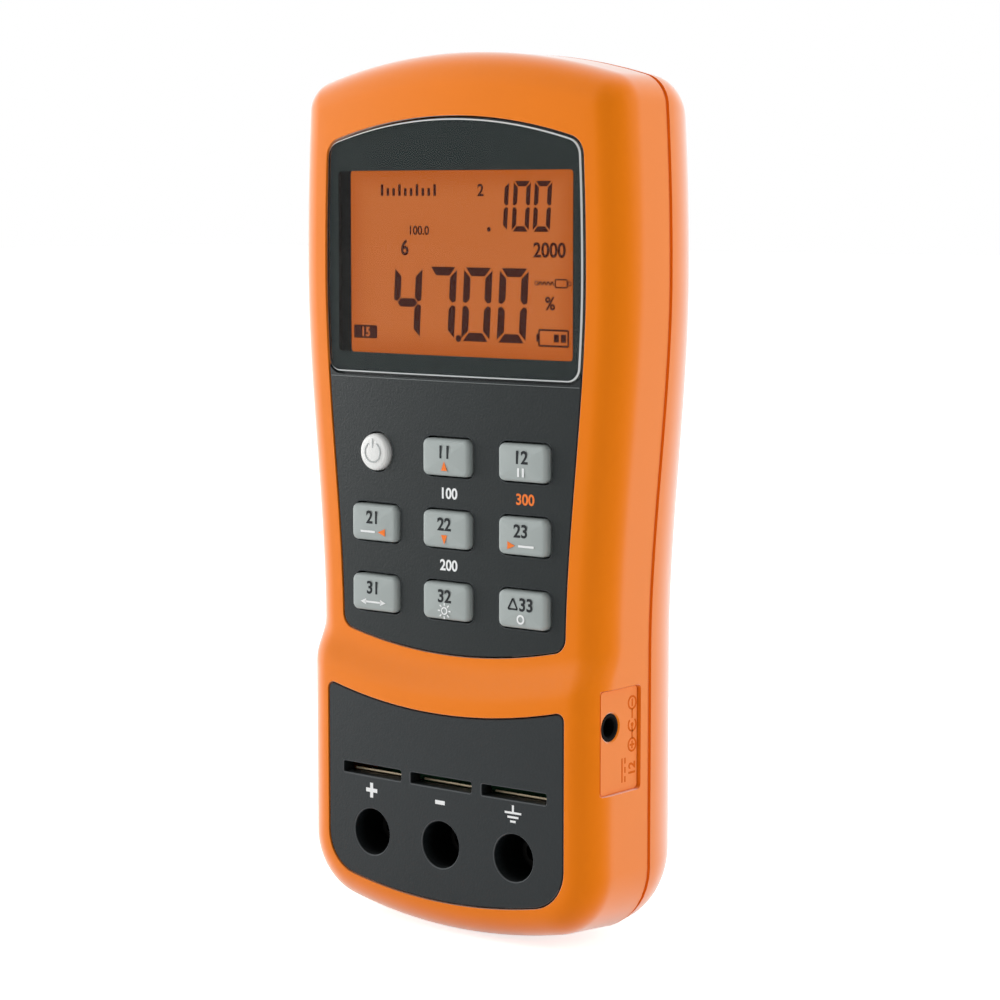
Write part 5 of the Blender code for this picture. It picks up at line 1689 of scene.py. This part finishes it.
@dataclass
class Display:
    """Lens with its printed border, which has a painted glow, and its polished edge, which has a painted
    highlight; clear window, lit glass and its segments.
    """

    shape: CaseShape
    lens: Outline
    glass: Piece
    chamfer: float = 0.0003
    plate: float = 0.0011
    view: Point = (0.0626, 0.038)
    lit: Point = (0.0592, 0.0386)
    lit_depth: float = 0.00405
    surround: Point = (0.0644, 0.0390)
    film: float = 0.00015
    view_z: float = 0.1409
    view_corner: float = 0.001
    digit: Point = (0.0075, 0.0152)
    stroke: float = 0.0018
    ridge_drop: float = 0.00115
    ridge_width: float = 0.0002
    ridge_proud: float = 0.00004
    ridge_steps: int = 32
    field_rings: int = 12
    land: float = 0.0001
    border_gap: float = 0.0001
    border_film: float = 0.00008
    border_draw: float = 0.0002
    slant: float = 0.06
    reading_v: float = -0.0084
    small_digit: Point = (0.0044, 0.0102)
    small_stroke: float = 0.0011
    small_v: float = 0.0117
    scale_bars: int = 10
    scale_place: Point = (-0.0208, 0.0138)
    scale_pitch: float = 0.0016
    scale_heights: Point = (0.0024, 0.0016)
    scale_stroke: float = 0.0007
    ink_film: float = 0.00003
    ink_sink: float = 0.00002
    line: float = 0.0003
    circuit_place: Point = (0.0245, -0.0037)
    circuit_reach: float = 0.0042
    circuit_ring: Point = (0.0004, 0.0002)
    zigzag_reach: float = 0.0037
    zigzag_turn: Point = (0.0005, 0.0004)
    zigzag_turns: int = 9
    box: tuple[Point, Point] = ((0.0006, -0.0008), (0.0036, 0.0008))
    battery_place: Point = (0.0246, -0.0147)
    battery: tuple[Point, Point] = ((-0.0036, -0.0016), (0.0038, 0.0016))
    battery_stroke: float = 0.0004
    cell_reach: float = 0.0008
    timer_place: Point = (-0.0256, -0.0148)
    timer_size: Point = (0.0065, 0.0028)
    timer_height: float = 0.0019

    SEGMENTS = {"0": "abcdef", "1": "bc", "4": "fgbc", "7": "abc"}
    # Figure and u.
    READING = (("4", -0.0139), ("7", -0.0046), ("0", 0.0048), ("0", 0.0142))
    SMALL_READING = (("1", 0.0108), ("0", 0.0164), ("0", 0.0218))
    # u and width.
    CELLS = ((-0.004, 0.0006), (0.0008, 0.0013), (0.0026, 0.0013))
    # Diameter, faces, u and v.
    DOTS = ((0.0015, 20, -0.0001, -0.0155), (0.001, 16, 0.008, 0.007))
    # Text, u, v and height.
    NUMBERS = (
        ("2", 0.0058, 0.015, 0.0024), ("100.0", -0.0108, 0.0067, 0.0018), ("6", -0.0146, 0.0031, 0.0031),
        ("2000", 0.0236, 0.003, 0.0029), ("%", 0.0238, -0.0077, 0.0026),
    )

    @cached_property
    def front(self) -> float:
        """Give the depth of the lens's face on the middle line."""
        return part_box("display_lens")[0][1]

    @property
    def film_y(self) -> float:
        """Give the depth of the lit film behind the lens."""
        return self.front + self.lit_depth

    def pane(self, size: Point) -> list[Point]:
        """Give a pane's outline in the display's place."""
        return moved(rounded_rectangle(*size, self.view_corner), 0.0, self.view_z)

    def face(self, edge: list[Point], y: float) -> Rings:
        """Give rings that close a bowed face of the lens from its edge to its middle."""
        return self.shape.face_rings(edge, y, self.view_z, self.field_rings)

    def lens_plate(self) -> Piece:
        """Build the lens: a clear bowed plate with a polished chamfer round its face.

        Returns:
            The plate.
        """
        drawn = -self.chamfer - self.land
        levels = ((0.0, self.plate), (0.0, self.chamfer), (-self.chamfer, 0.0), (drawn, 0.0))
        rings = self.face(self.lens.grown(0.0), self.front + self.plate)[::-1]
        rings += [self.shape.ring(self.lens.grown(growth), self.front + depth) for growth, depth in levels]
        rings += self.face(self.lens.grown(drawn), self.front)
        return object_of("display_lens_plate", closed_skin(rings))

    def border(self) -> Piece:
        """Build the dark print behind the lens, open where the display shows; its finish has a faint painted
        glow.

        Returns:
            The print.
        """
        y = self.front + self.plate + self.border_gap
        y_back = y + self.border_film
        edge = self.lens.grown(-self.border_draw)
        rings = self.face(edge, y)[::-1] + [self.shape.ring(edge, y), self.shape.ring(edge, y_back)]
        piece = object_of("display_lens_border", closed_skin(rings + self.face(edge, y_back)))
        carve(piece, [flat_prism([self.pane(self.view)], y - OVERRUN, y + OVERRUN)])
        return piece

    def paint_edge_highlight(self, piece: Piece) -> None:
        """Give the chamfer round the lens the second material, a pale glowing finish that is a painted
        highlight.

        Args:
            piece: The lens.
        """
        for face in piece.data.polygons:
            depth = face.center.y - self.shape.bow(face.center.x) - self.front
            face.material_index = 1 if is_chamfer(face) and depth < self.chamfer else 0

    def build(self) -> None:
        """Build and dress the lens, its border, the glass and what it shows."""
        plate = self.lens_plate()
        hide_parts("display_lens")
        dress(plate, LENS_CLEAR, LENS_EDGE_PAINTED_HIGHLIGHT, angle=20.0)
        self.paint_edge_highlight(plate)
        dress(self.border(), LENS_BORDER_PAINTED_GLOW)
        dress(self.ridge(), PANEL_RIDGE_HIGHLIGHT)
        self.light_up()
        self.draw_segments()

    def ridge(self) -> Piece:
        """Build the fine ridge across the panel under the lens's foot; its pale finish is a painted
        highlight.

        Returns:
            The ridge.
        """
        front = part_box("keypad_panel")[0][1]
        foot = self.lens.foot_z - self.ridge_drop
        reach = self.lens.half_width(foot)
        proud, quarter = self.ridge_proud, self.ridge_width / 4
        section = ((proud, 0.0), (-proud, quarter), (-proud, 3 * quarter), (proud, 4 * quarter))
        rings = []
        for k in range(self.ridge_steps + 1):
            x = reach * (2 * k / self.ridge_steps - 1.0)
            z = foot + x * x / (2.0 * self.lens.foot_radius)
            rings.append(side_ring(moved(section, front + self.shape.bow(x), z), x))
        return object_of("panel_ridge", loft(rings))

    def light_up(self) -> None:
        """Put the lit film in front of the display's glass, with a dark surround round the lit area that is
        painted shade of the display's recess.
        """
        half_size = (self.lit[0] / 2, self.view[1] / 2)
        glass = replace(AMBER_GLASS, half_size=half_size, middle_z=self.view_z)
        self.glass.data.materials.clear()
        self.glass.data.materials.append(glass.material())
        y, whole = self.film_y, self.pane(self.surround)
        dress(object_of("display_film", flat_prism([whole], y, y + self.film)), glass)
        frame = object_of("display_surround_painted_shade", flat_prism([whole], y - self.film, y - WELD))
        carve(frame, [flat_prism([self.pane(self.lit)], y - OVERRUN, y + OVERRUN)])
        dress(frame, DISPLAY_SURROUND_SHADE)

    def digit_segments(self, ink: Print, figure: str, centre: Point, size: Point, stroke: float) -> None:
        """Draw one seven-part figure with a slight slant.

        Args:
            ink: Print to draw on.
            figure: The digit.
            centre: Its middle.
            size: Its width and height.
            stroke: Width of its parts.
        """
        half_w, half_h = size[0] / 2, size[1] / 2
        gap = stroke * 0.12
        t = stroke
        flat = [
            (-half_w + t * 0.25, half_h), (half_w - t * 0.25, half_h),
            (half_w - t * 1.1, half_h - t), (-half_w + t * 1.1, half_h - t),
        ]
        upright = [
            (half_w, half_h - t * 0.3), (half_w, gap + t * 0.2), (half_w - t * 0.5, gap),
            (half_w - t, gap + t * 0.5), (half_w - t, half_h - t * 1.2),
        ]
        bar = [
            (-half_w + t * 0.55, 0.0), (-half_w + t * 1.05, t / 2), (half_w - t * 1.05, t / 2),
            (half_w - t * 0.55, 0.0), (half_w - t * 1.05, -t / 2), (-half_w + t * 1.05, -t / 2),
        ]
        shapes = {
            "a": flat, "d": [(u, -v) for u, v in flat], "b": upright, "c": [(u, -v) for u, v in upright],
            "f": [(-u, v) for u, v in upright], "e": [(-u, -v) for u, v in upright], "g": bar,
        }
        for part in self.SEGMENTS[figure]:
            points = [(centre[0] + u + v * self.slant, centre[1] + v) for u, v in shapes[part]]
            ink.polygon(points, Ink.DARK)

    def draw_segments(self) -> None:
        """Draw a plain reading: large and small figures, a circuit, a row of bars and a battery sign."""
        ink = Print(self.ink_film)
        for figure, u in self.READING:
            self.digit_segments(ink, figure, (u, self.reading_v), self.digit, self.stroke)
        for figure, u in self.SMALL_READING:
            self.digit_segments(ink, figure, (u, self.small_v), self.small_digit, self.small_stroke)
        for diameter, faces, u, v in self.DOTS:
            ink.polygon(moved(circle(diameter, faces), u, v), Ink.DARK)
        for k in range(self.scale_bars):
            u, v = self.scale_place[0] + self.scale_pitch * k, self.scale_place[1]
            ink.bar((u, v), (u, v + self.scale_heights[k % 3 > 0]), self.scale_stroke, Ink.DARK)
        for text, u, v, height in self.NUMBERS:
            ink.number(text, (u, v), height, Ink.DARK)
        self._circuit(ink)
        self._battery(ink)
        label = rounded_rectangle(*self.timer_size, self.line, 3)
        ink.polygon(moved(label, *self.timer_place), Ink.DARK)
        ink.number("15", self.timer_place, self.timer_height, Ink.PALE, lift=ink.thickness)
        place = Matrix.Translation((0.0, self.film_y - self.ink_sink, self.view_z))
        ink.finish("display_segments", place, (SEGMENT_DARK, SEGMENT_LIT))

    def _circuit(self, ink: Print) -> None:
        """Draw two terminals with a zigzag and a box between them.

        Args:
            ink: Print to draw on.
        """
        u, v = self.circuit_place
        for end in (u - self.circuit_reach, u + self.circuit_reach):
            ink.ring((end, v), *self.circuit_ring, Ink.DARK)
        start, (run, rise) = u - self.zigzag_reach, self.zigzag_turn
        turns = [(start + run * k, v + (rise if k % 2 else -rise)) for k in range(self.zigzag_turns)]
        for near, far in zip(turns, turns[1:]):
            ink.bar(near, far, self.line, Ink.DARK)
        ink.frame(moved(rectangle(*self.box), u, v), self.line, Ink.DARK)

    def _battery(self, ink: Print) -> None:
        """Draw a battery with two cells left.

        Args:
            ink: Print to draw on.
        """
        u, v = self.battery_place
        ink.frame(moved(rectangle(*self.battery), u, v), self.battery_stroke, Ink.DARK)
        for cell_u, width in self.CELLS:
            x = u + cell_u
            ink.bar((x, v - self.cell_reach), (x, v + self.cell_reach), width, Ink.DARK)


@dataclass
class PanelFace:
    """A bowed charcoal panel with chamfered openings, made finer than its CAD node."""

    shape: CaseShape
    outline: Outline
    thickness: float = 0.0034
    edge: float = 0.00015
    rim: float = 0.00022
    rim_margin: float = 0.0012
    field_rings: int = 16

    def slab(self, rows: list[tuple[list[Point], float]]) -> Mesh:
        """Build a bowed slab.

        Args:
            rows: Its outline and depth, from the back to the front.

        Returns:
            The closed mesh.
        """
        centre = (self.outline.top_z + self.outline.foot_z) / 2
        back, front = (self.shape.face_rings(*row, centre, self.field_rings) for row in (rows[0], rows[-1]))
        return closed_skin(back[::-1] + [self.shape.ring(*row) for row in rows] + front)

    def opening(self, shape: Callable[[float], list[Point]], front: float, y_end: float) -> Mesh:
        """Give a cutter with a chamfered mouth that follows the bowed face.

        Args:
            shape: The opening's outline for a growth.
            front: Depth of the face at its middle.
            y_end: Where the cutter ends.

        Returns:
            The cutter.
        """
        mouth = self.shape.ring(shape(self.rim + OVERRUN), front - OVERRUN)
        throat = self.shape.ring(shape(0.0), front + self.rim)
        return loft([mouth, throat, flat_ring(shape(0.0), y_end)])

    def finish(self, node: str, finish: Finish, tools: Iterable[Mesh], joined: Collection[Mesh] = ()) -> None:
        """Cut the slab, put it in its node's place and dress it, with a painted highlight on the rims round
        the openings.

        Args:
            node: The CAD node that it stands for.
            finish: Its finish.
            tools: The meshes that shape the slab, in order.
            joined: Those of them that are joined to it.
        """
        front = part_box(node)[0][1]
        wide, drawn = self.outline.grown(0.0), self.outline.grown(-self.edge)
        rows = [(wide, front + self.thickness), (wide, front + self.edge), (drawn, front)]
        piece = object_of(f"{node}_face", self.slab(rows))
        carve(piece, tools, joined)
        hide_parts(node)
        dress(piece, finish, OPENING_RIM_HIGHLIGHT, angle=20.0)
        # Chamfers round the openings take the lighter second finish, a painted highlight.
        for face in piece.data.polygons:
            x, y, z = face.center
            low, high = self.outline.foot_z + self.rim_margin, self.outline.top_z - self.rim_margin
            inside = low < z < high and abs(x) < self.outline.half_width(z) - self.rim_margin
            shallow = 0.0 < y - self.shape.bow(x) - front < self.rim
            face.material_index = 1 if inside and shallow and is_chamfer(face) else 0


@dataclass
class KeypadPanel(PanelFace):
    """Upper panel: a seat for the lens, a window for the display and a hole for each key."""

    seat_gap: float = 0.0006
    seat_depth: float = 0.0011
    window: Point = (0.0646, 0.0392)
    key_gap: float = 0.0004

    def build(self, display: Display, keys: Keys) -> None:
        """Build and dress the panel.

        Args:
            display: The display that it holds.
            keys: The keys that it holds.
        """
        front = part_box("keypad_panel")[0][1]
        y_end = front + self.thickness + OVERRUN
        seat = display.lens.grown(self.seat_gap)
        tools = [self.slab([(seat, front + self.seat_depth), (seat, front - OVERRUN)])]
        tools.append(flat_prism([display.pane(self.window)], front - OVERRUN, y_end))
        for name in keys.NAMES:
            tools.append(self.opening(partial(keys.hole, name, self.key_gap), front, y_end))
        self.finish("keypad_panel", PANEL_DARK, tools)


@dataclass
class TerminalPanel(PanelFace):
    """Lower panel: three lead slots over three round wells, with the strips that show in the slots."""

    slot: Point = (0.0166, 0.0024)
    slot_corner: float = 0.0004
    slot_z: float = 0.0331
    bore: float = 0.010
    cup_wall: float = 0.0012
    facets: int = 62
    lip_height: float = 0.0005
    lip_z: float = -0.00085
    lip_steps: int = 8
    leaf: tuple[Point, ...] = ((0.0042, -0.0016), (0.0042, -0.0013), (0.00055, 0.00005))

    def well_outline(self, side: str, growth: float) -> list[Point]:
        """Give the outline of a socket's well, grown by an amount."""
        return moved(circle(self.bore + 2 * growth, self.facets), *middle(f"banana_socket_{side}"))

    def slot_outline(self, side: str, growth: float) -> list[Point]:
        """Give the outline of a lead slot, grown by an amount."""
        shape = rounded_rectangle(*(edge + 2 * growth for edge in self.slot), self.slot_corner + growth, 5)
        return moved(shape, middle(f"banana_socket_{side}")[0], self.slot_z)

    def build(self) -> None:
        """Build and dress the panel, with its wells where the socket contacts stand."""
        front, y_cup = (corner[1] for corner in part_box("terminal_panel"))
        tools, cups = [], []
        for side in SIDES:
            near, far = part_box(f"banana_socket_{side}")
            cup = self.well_outline(side, self.cup_wall)
            floor = self.well_outline(side, (far[0] - near[0] + CLEARANCE - self.bore) / 2)
            well, slot = partial(self.well_outline, side), partial(self.slot_outline, side)
            cups.append(flat_prism([cup], front + self.thickness / 2, y_cup))
            tools += [
                cups[-1],
                self.opening(well, front, y_cup - self.cup_wall),
                flat_prism([floor], y_cup - 2 * self.cup_wall, y_cup + OVERRUN),
                self.opening(slot, front, front + self.thickness + OVERRUN),
            ]
            self.strip(side)
        self.finish("terminal_panel", TERMINAL_DARK, tools, cups)

    def strip(self, side: str) -> None:
        """Build a slot's spring strip: a rolled lip across the slot and a leaf that falls away behind it.

        Args:
            side: Which slot it is in.
        """
        low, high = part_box(f"slot_contact_{side}")
        half = self.lip_height / 2
        turns = [math.pi * k / self.lip_steps for k in range(self.lip_steps + 1)]
        profile = [(half * (1.0 - math.sin(a)), half * math.cos(a)) for a in turns] + list(self.leaf)
        profile = moved(profile, low[1], self.slot_z + self.lip_z)
        rings = [side_ring(profile, x) for x in (low[0], high[0])]
        piece = object_of(f"slot_contact_{side}_strip", loft(rings))
        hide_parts(f"slot_contact_{side}")
        dress(piece, SPRING_TAN)


@dataclass
class Marks:
    """Signs on the panels and beside the inlet."""

    case: CaseHalves
    socket_pitch: float = 0.0192
    sign_z: float = 0.0289
    sign_stroke: float = 0.00085
    plus_reach: float = 0.0016
    minus_reach: float = 0.0013
    ground_stem: Point = (0.0004, 0.002)
    ground_bars: tuple[float, ...] = (0.0021, 0.0014, 0.0007)
    ground_pitch: float = 0.0009
    ground_stroke: float = 0.00045
    stem_stroke: float = 0.0005
    under_key: float = 0.0075
    number_height: float = 0.0022
    relief: float = 0.00005
    relief_sink: float = 0.00001
    sign_setback: float = 0.01245
    stroke: float = 0.0004
    pole_ring: float = 0.0013
    pole_arm: float = 0.0008
    minus_z: float = 0.05226
    plus_z: float = 0.04358
    cup_z: float = 0.04772
    cup_dot: float = 0.0009
    cup_turn: Point = (130.0, 280.0)
    wires: tuple[Point, ...] = ((0.04902, 0.05096), (0.04488, 0.04727))
    current_u: Point = (-0.0034, -0.0024)
    current_z: Point = (0.0362, 0.0412)
    dash: float = 0.0012
    dash_pitch: float = 0.0019
    volts_place: Point = (-0.0001, 0.0386)
    volts_height: float = 0.0021

    PANEL_NUMBERS = (
        ("key_up", "100", Ink.PALE), ("key_down", "200", Ink.PALE), ("key_hold", "300", Ink.ORANGE)
    )

    def build(self) -> None:
        """Print the panels' signs and raise the polarity sign at the inlet."""
        self._terminal_signs()
        self._key_numbers()
        self._polarity()

    def _terminal_signs(self) -> None:
        """Print plus, minus and ground over the sockets."""
        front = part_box("terminal_panel")[0][1]
        plus, minus, ground = Print(), Print(), Print()
        plus.cross((0.0, 0.0), self.plus_reach, self.sign_stroke, Ink.PALE)
        minus.bar((-self.minus_reach, 0.0), (self.minus_reach, 0.0), self.sign_stroke, Ink.PALE)
        foot, top = self.ground_stem
        ground.bar((0.0, foot), (0.0, top), self.stem_stroke, Ink.PALE)
        for k, half in enumerate(self.ground_bars):
            v = foot - self.ground_pitch * k
            ground.bar((-half, v), (half, v), self.ground_stroke, Ink.PALE)
        for label, ink, column in (("plus", plus, -1), ("minus", minus, 0), ("ground", ground, 1)):
            place = Matrix.Translation((column * self.socket_pitch, front + PRINT_SINK, self.sign_z))
            ink.finish(f"terminal_sign_{label}", place, INKS, bow=self.case.shape.bow)

    def _key_numbers(self) -> None:
        """Print small numbers on the panel under three of the keys."""
        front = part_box("keypad_panel")[0][1]
        for node, text, ink in self.PANEL_NUMBERS:
            label = Print()
            label.number(text, (0.0, 0.0), self.number_height, ink)
            x, z = middle(node)
            place = Matrix.Translation((x, front + PRINT_SINK, z - self.under_key))
            label.finish(f"{node}_panel_number", place, INKS, bow=self.case.shape.bow)

    def _polarity(self) -> None:
        """Mark the inlet: minus ring, cup with a dot, plus ring, direct-current sign and its volts, in a
        darker orange that is painted shade of engraved strokes.
        """
        sign, volts = Print(self.relief), Print(self.relief)
        stroke, arm, cup = self.stroke, self.pole_arm, (0.0, self.cup_z)
        for z in (self.minus_z, self.plus_z):
            sign.ring((0.0, z), self.pole_ring, stroke, Ink.DARK)
        sign.bar((0.0, self.minus_z - arm), (0.0, self.minus_z + arm), stroke, Ink.DARK)
        sign.cross((0.0, self.plus_z), arm, stroke, Ink.DARK)
        sign.ring(cup, self.pole_ring, stroke, Ink.DARK, *self.cup_turn)
        sign.polygon(moved(circle(self.cup_dot, 16), *cup), Ink.DARK)
        for low, high in self.wires:
            sign.bar((0.0, low), (0.0, high), stroke, Ink.DARK)
        (whole, broken), (low, high) = self.current_u, self.current_z
        sign.bar((whole, low), (whole, high), stroke, Ink.DARK)
        for k in range(3):
            start = low + self.dash_pitch * k
            sign.bar((broken, start), (broken, start + self.dash), stroke, Ink.DARK)
        volts.number("12", (0.0, 0.0), self.volts_height, Ink.DARK)
        u, v = self.volts_place
        volts.bm.transform(Matrix.Translation((u, 0.0, v)) @ Matrix.Rotation(-math.pi / 2, 4, "Y"))
        x, y = self.case.pad_x - self.relief_sink, self.case.shape.y_face + self.sign_setback
        place = Matrix.Translation((x, y, 0.0)) @ Matrix.Rotation(math.pi / 2, 4, "Z")
        sign.finish("inlet_polarity_sign", place, [ORANGE_ENGRAVING_SHADE])
        volts.finish("inlet_volts_number", place, [ORANGE_ENGRAVING_SHADE])


@dataclass
class Studio:
    """Camera, floor, world and soft lights."""

    azimuth: float = 38.706
    elevation: float = 6.199
    distance: float = 0.57864
    offset: Point = (0.0107, 0.002759)
    target: Corner = (0.0, -0.0175, 0.08935)
    focal_pixels: float = 2794.8
    image_pixels: float = 1000.0
    sensor: float = 36.0
    clip: float = 0.01
    ambient: float = 0.38
    floor_reach: float = 6.0
    floor_grey: float = 0.9
    floor_roughness: float = 0.9
    floor_glow: float = 0.75

    # Name, place, size and watts.
    LIGHTS = (
        ("key_light", (-0.9, -1.0, 0.75), 1.0, 7.4),
        ("left_light", (-1.35, -0.6, 0.2), 0.7, 11.5),
        ("side_light", (1.1, 0.35, 0.5), 0.7, 6.0),
        ("top_light", (0.1, 0.3, 1.4), 0.8, 6.5),
    )

    def build(self) -> None:
        """Set up everything that isn't the tester."""
        bpy.context.scene.view_settings.view_transform = "Standard"
        self._camera()
        self._world()
        self._floor()
        for light in self.LIGHTS:
            self._light(*light)
        LOG.info("studio: camera at %.1f, %.1f degrees", self.azimuth, self.elevation)

    def _camera(self) -> None:
        """Stand the camera where the photograph was taken from."""
        az, el = math.radians(self.azimuth), math.radians(self.elevation)
        right = Vector((math.cos(az), math.sin(az), 0.0))
        back = Vector((math.sin(az) * math.cos(el), -math.cos(az) * math.cos(el), math.sin(el)))
        up = back.cross(right)
        lens = bpy.data.cameras.new("camera")
        lens.sensor_width = self.sensor
        lens.lens = self.focal_pixels * self.sensor / self.image_pixels
        lens.clip_start = self.clip
        camera = bpy.data.objects.new("camera", lens)
        place = Vector(self.target) + back * self.distance + right * self.offset[0] + up * self.offset[1]
        camera.matrix_world = Matrix.Translation(place) @ Matrix((right, up, back)).transposed().to_4x4()
        bpy.context.scene.collection.objects.link(camera)
        bpy.context.scene.camera = camera

    def _world(self) -> None:
        """Light softly from all round, and show white to the eye and in reflections."""
        world = bpy.data.worlds.new("studio")
        bpy.context.scene.world = world
        world.use_nodes = True
        tree = world.node_tree
        soft, white = tree.nodes["Background"], tree.nodes.new("ShaderNodeBackground")
        for background, strength in ((soft, self.ambient), (white, 1.0)):
            background.inputs["Strength"].default_value = strength
            background.inputs["Color"].default_value = WHITE
        self._switch(tree, soft.outputs[0], white.outputs[0], tree.nodes["World Output"].inputs["Surface"])

    @staticmethod
    def _switch(tree: Tree, unseen: Socket, seen: Socket, surface: Socket) -> None:
        """Show one shader to rays from the camera, off gloss and through glass, and another to the rest.

        Args:
            tree: The tree that gets the nodes.
            unseen: The shader for the rest.
            seen: The shader for those rays.
            surface: The input that gets the result.
        """
        path = tree.nodes.new("ShaderNodeLightPath").outputs
        share = calculate(tree, "MAXIMUM", path["Is Camera Ray"], path["Is Glossy Ray"])
        share = calculate(tree, "MAXIMUM", share, path["Is Transmission Ray"])
        mix = tree.nodes.new("ShaderNodeMixShader")
        for target, source in zip(mix.inputs, (share, unseen, seen)):
            tree.links.new(source, target)
        tree.links.new(mix.outputs[0], surface)

    def _floor(self) -> None:
        """Lay a white floor that keeps the tester's shadow."""
        bm = bmesh.new()
        bmesh.ops.create_grid(bm, x_segments=1, y_segments=1, size=self.floor_reach)
        floor = object_of("floor", bm)
        paper = bpy.data.materials.new("floor_paper")
        paper.use_nodes = True
        tree = paper.node_tree
        shader = tree.nodes["Principled BSDF"]
        shader.inputs["Base Color"].default_value = (*[self.floor_grey] * 3, 1.0)
        shader.inputs["Roughness"].default_value = self.floor_roughness
        glow = tree.nodes.new("ShaderNodeEmission")
        glow.inputs["Strength"].default_value = self.floor_glow
        both = tree.nodes.new("ShaderNodeAddShader")
        tree.links.new(shader.outputs[0], both.inputs[0])
        tree.links.new(glow.outputs[0], both.inputs[1])
        surface = tree.nodes["Material Output"].inputs["Surface"]
        self._switch(tree, shader.outputs[0], both.outputs[0], surface)
        floor.data.materials.append(paper)

    def _light(self, name: str, place: Corner, size: float, watts: float) -> None:
        """Hang a square soft light that looks at the tester.

        Args:
            name: The light's name.
            place: Where it hangs.
            size: Length of its sides.
            watts: Its power.
        """
        lamp = bpy.data.lights.new(name, "AREA")
        lamp.size = size
        lamp.energy = watts
        holder = bpy.data.objects.new(name, lamp)
        holder.location = place
        holder.rotation_euler = (Vector(self.target) - Vector(place)).to_track_quat("-Z", "Y").to_euler()
        bpy.context.scene.collection.objects.link(holder)


def dress_frame(nodes: dict[str, Piece]) -> None:
    """Weld, smooth and finish the CAD pieces that stay in view.

    Args:
        nodes: The frame's pieces by name.
    """
    for name, finish in NODE_FINISHES.items():
        node = nodes[name]
        node.data.materials.clear()
        node.data.materials.append(finish.material())
        weld = node.modifiers.new("weld", "WELD")
        weld.merge_threshold = FRAME_WELD
        smooth = node.modifiers.new("edges", "EDGE_SPLIT")
        smooth.split_angle = FRAME_EDGE
        node.data.shade_smooth()
        LOG.info("%s: finished as %s", name, finish.name)


def main() -> None:
    """Load the frame, build every sub-assembly on it and set up the studio."""
    logging.basicConfig(level=logging.INFO, format="%(name)s: %(message)s")
    for old in list(bpy.data.objects):
        bpy.data.objects.remove(old, do_unlink=True)
    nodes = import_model()["nodes"]
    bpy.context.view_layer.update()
    shape = CaseShape()
    panel = Outline(
        half_width=shape.inset(0.0093), top_z=0.1707, top_radius=0.113, top_corner=0.0039,
        foot_z=0.0598, foot_radius=0.1225, foot_corner=0.0031, side_step=0.002,
    )
    terminals = Outline(
        half_width=shape.inset(0.0074), top_z=0.0473, top_radius=-0.1313, top_corner=0.0013,
        foot_z=0.0079, foot_radius=0.128, foot_corner=0.0086, side_step=0.002,
    )
    lens = Outline(
        half_width=shape.inset(0.0096), top_z=0.1704, top_radius=0.1127, top_corner=0.0036,
        foot_z=0.1177, foot_radius=30.0, foot_corner=0.003, side_step=0.002,
    )
    dress_frame(nodes)
    fittings = RearFittings(shape)
    case = CaseHalves(shape, panel, terminals, fittings)
    case.build()
    fittings.build()
    keys = Keys()
    keys.build()
    display = Display(shape, lens, nodes["lcd_glass"])
    display.build()
    KeypadPanel(shape, panel).build(display, keys)
    TerminalPanel(shape, terminals).build()
    Marks(case).build()
    Studio().build()


if __name__ == "__main__":
    main()
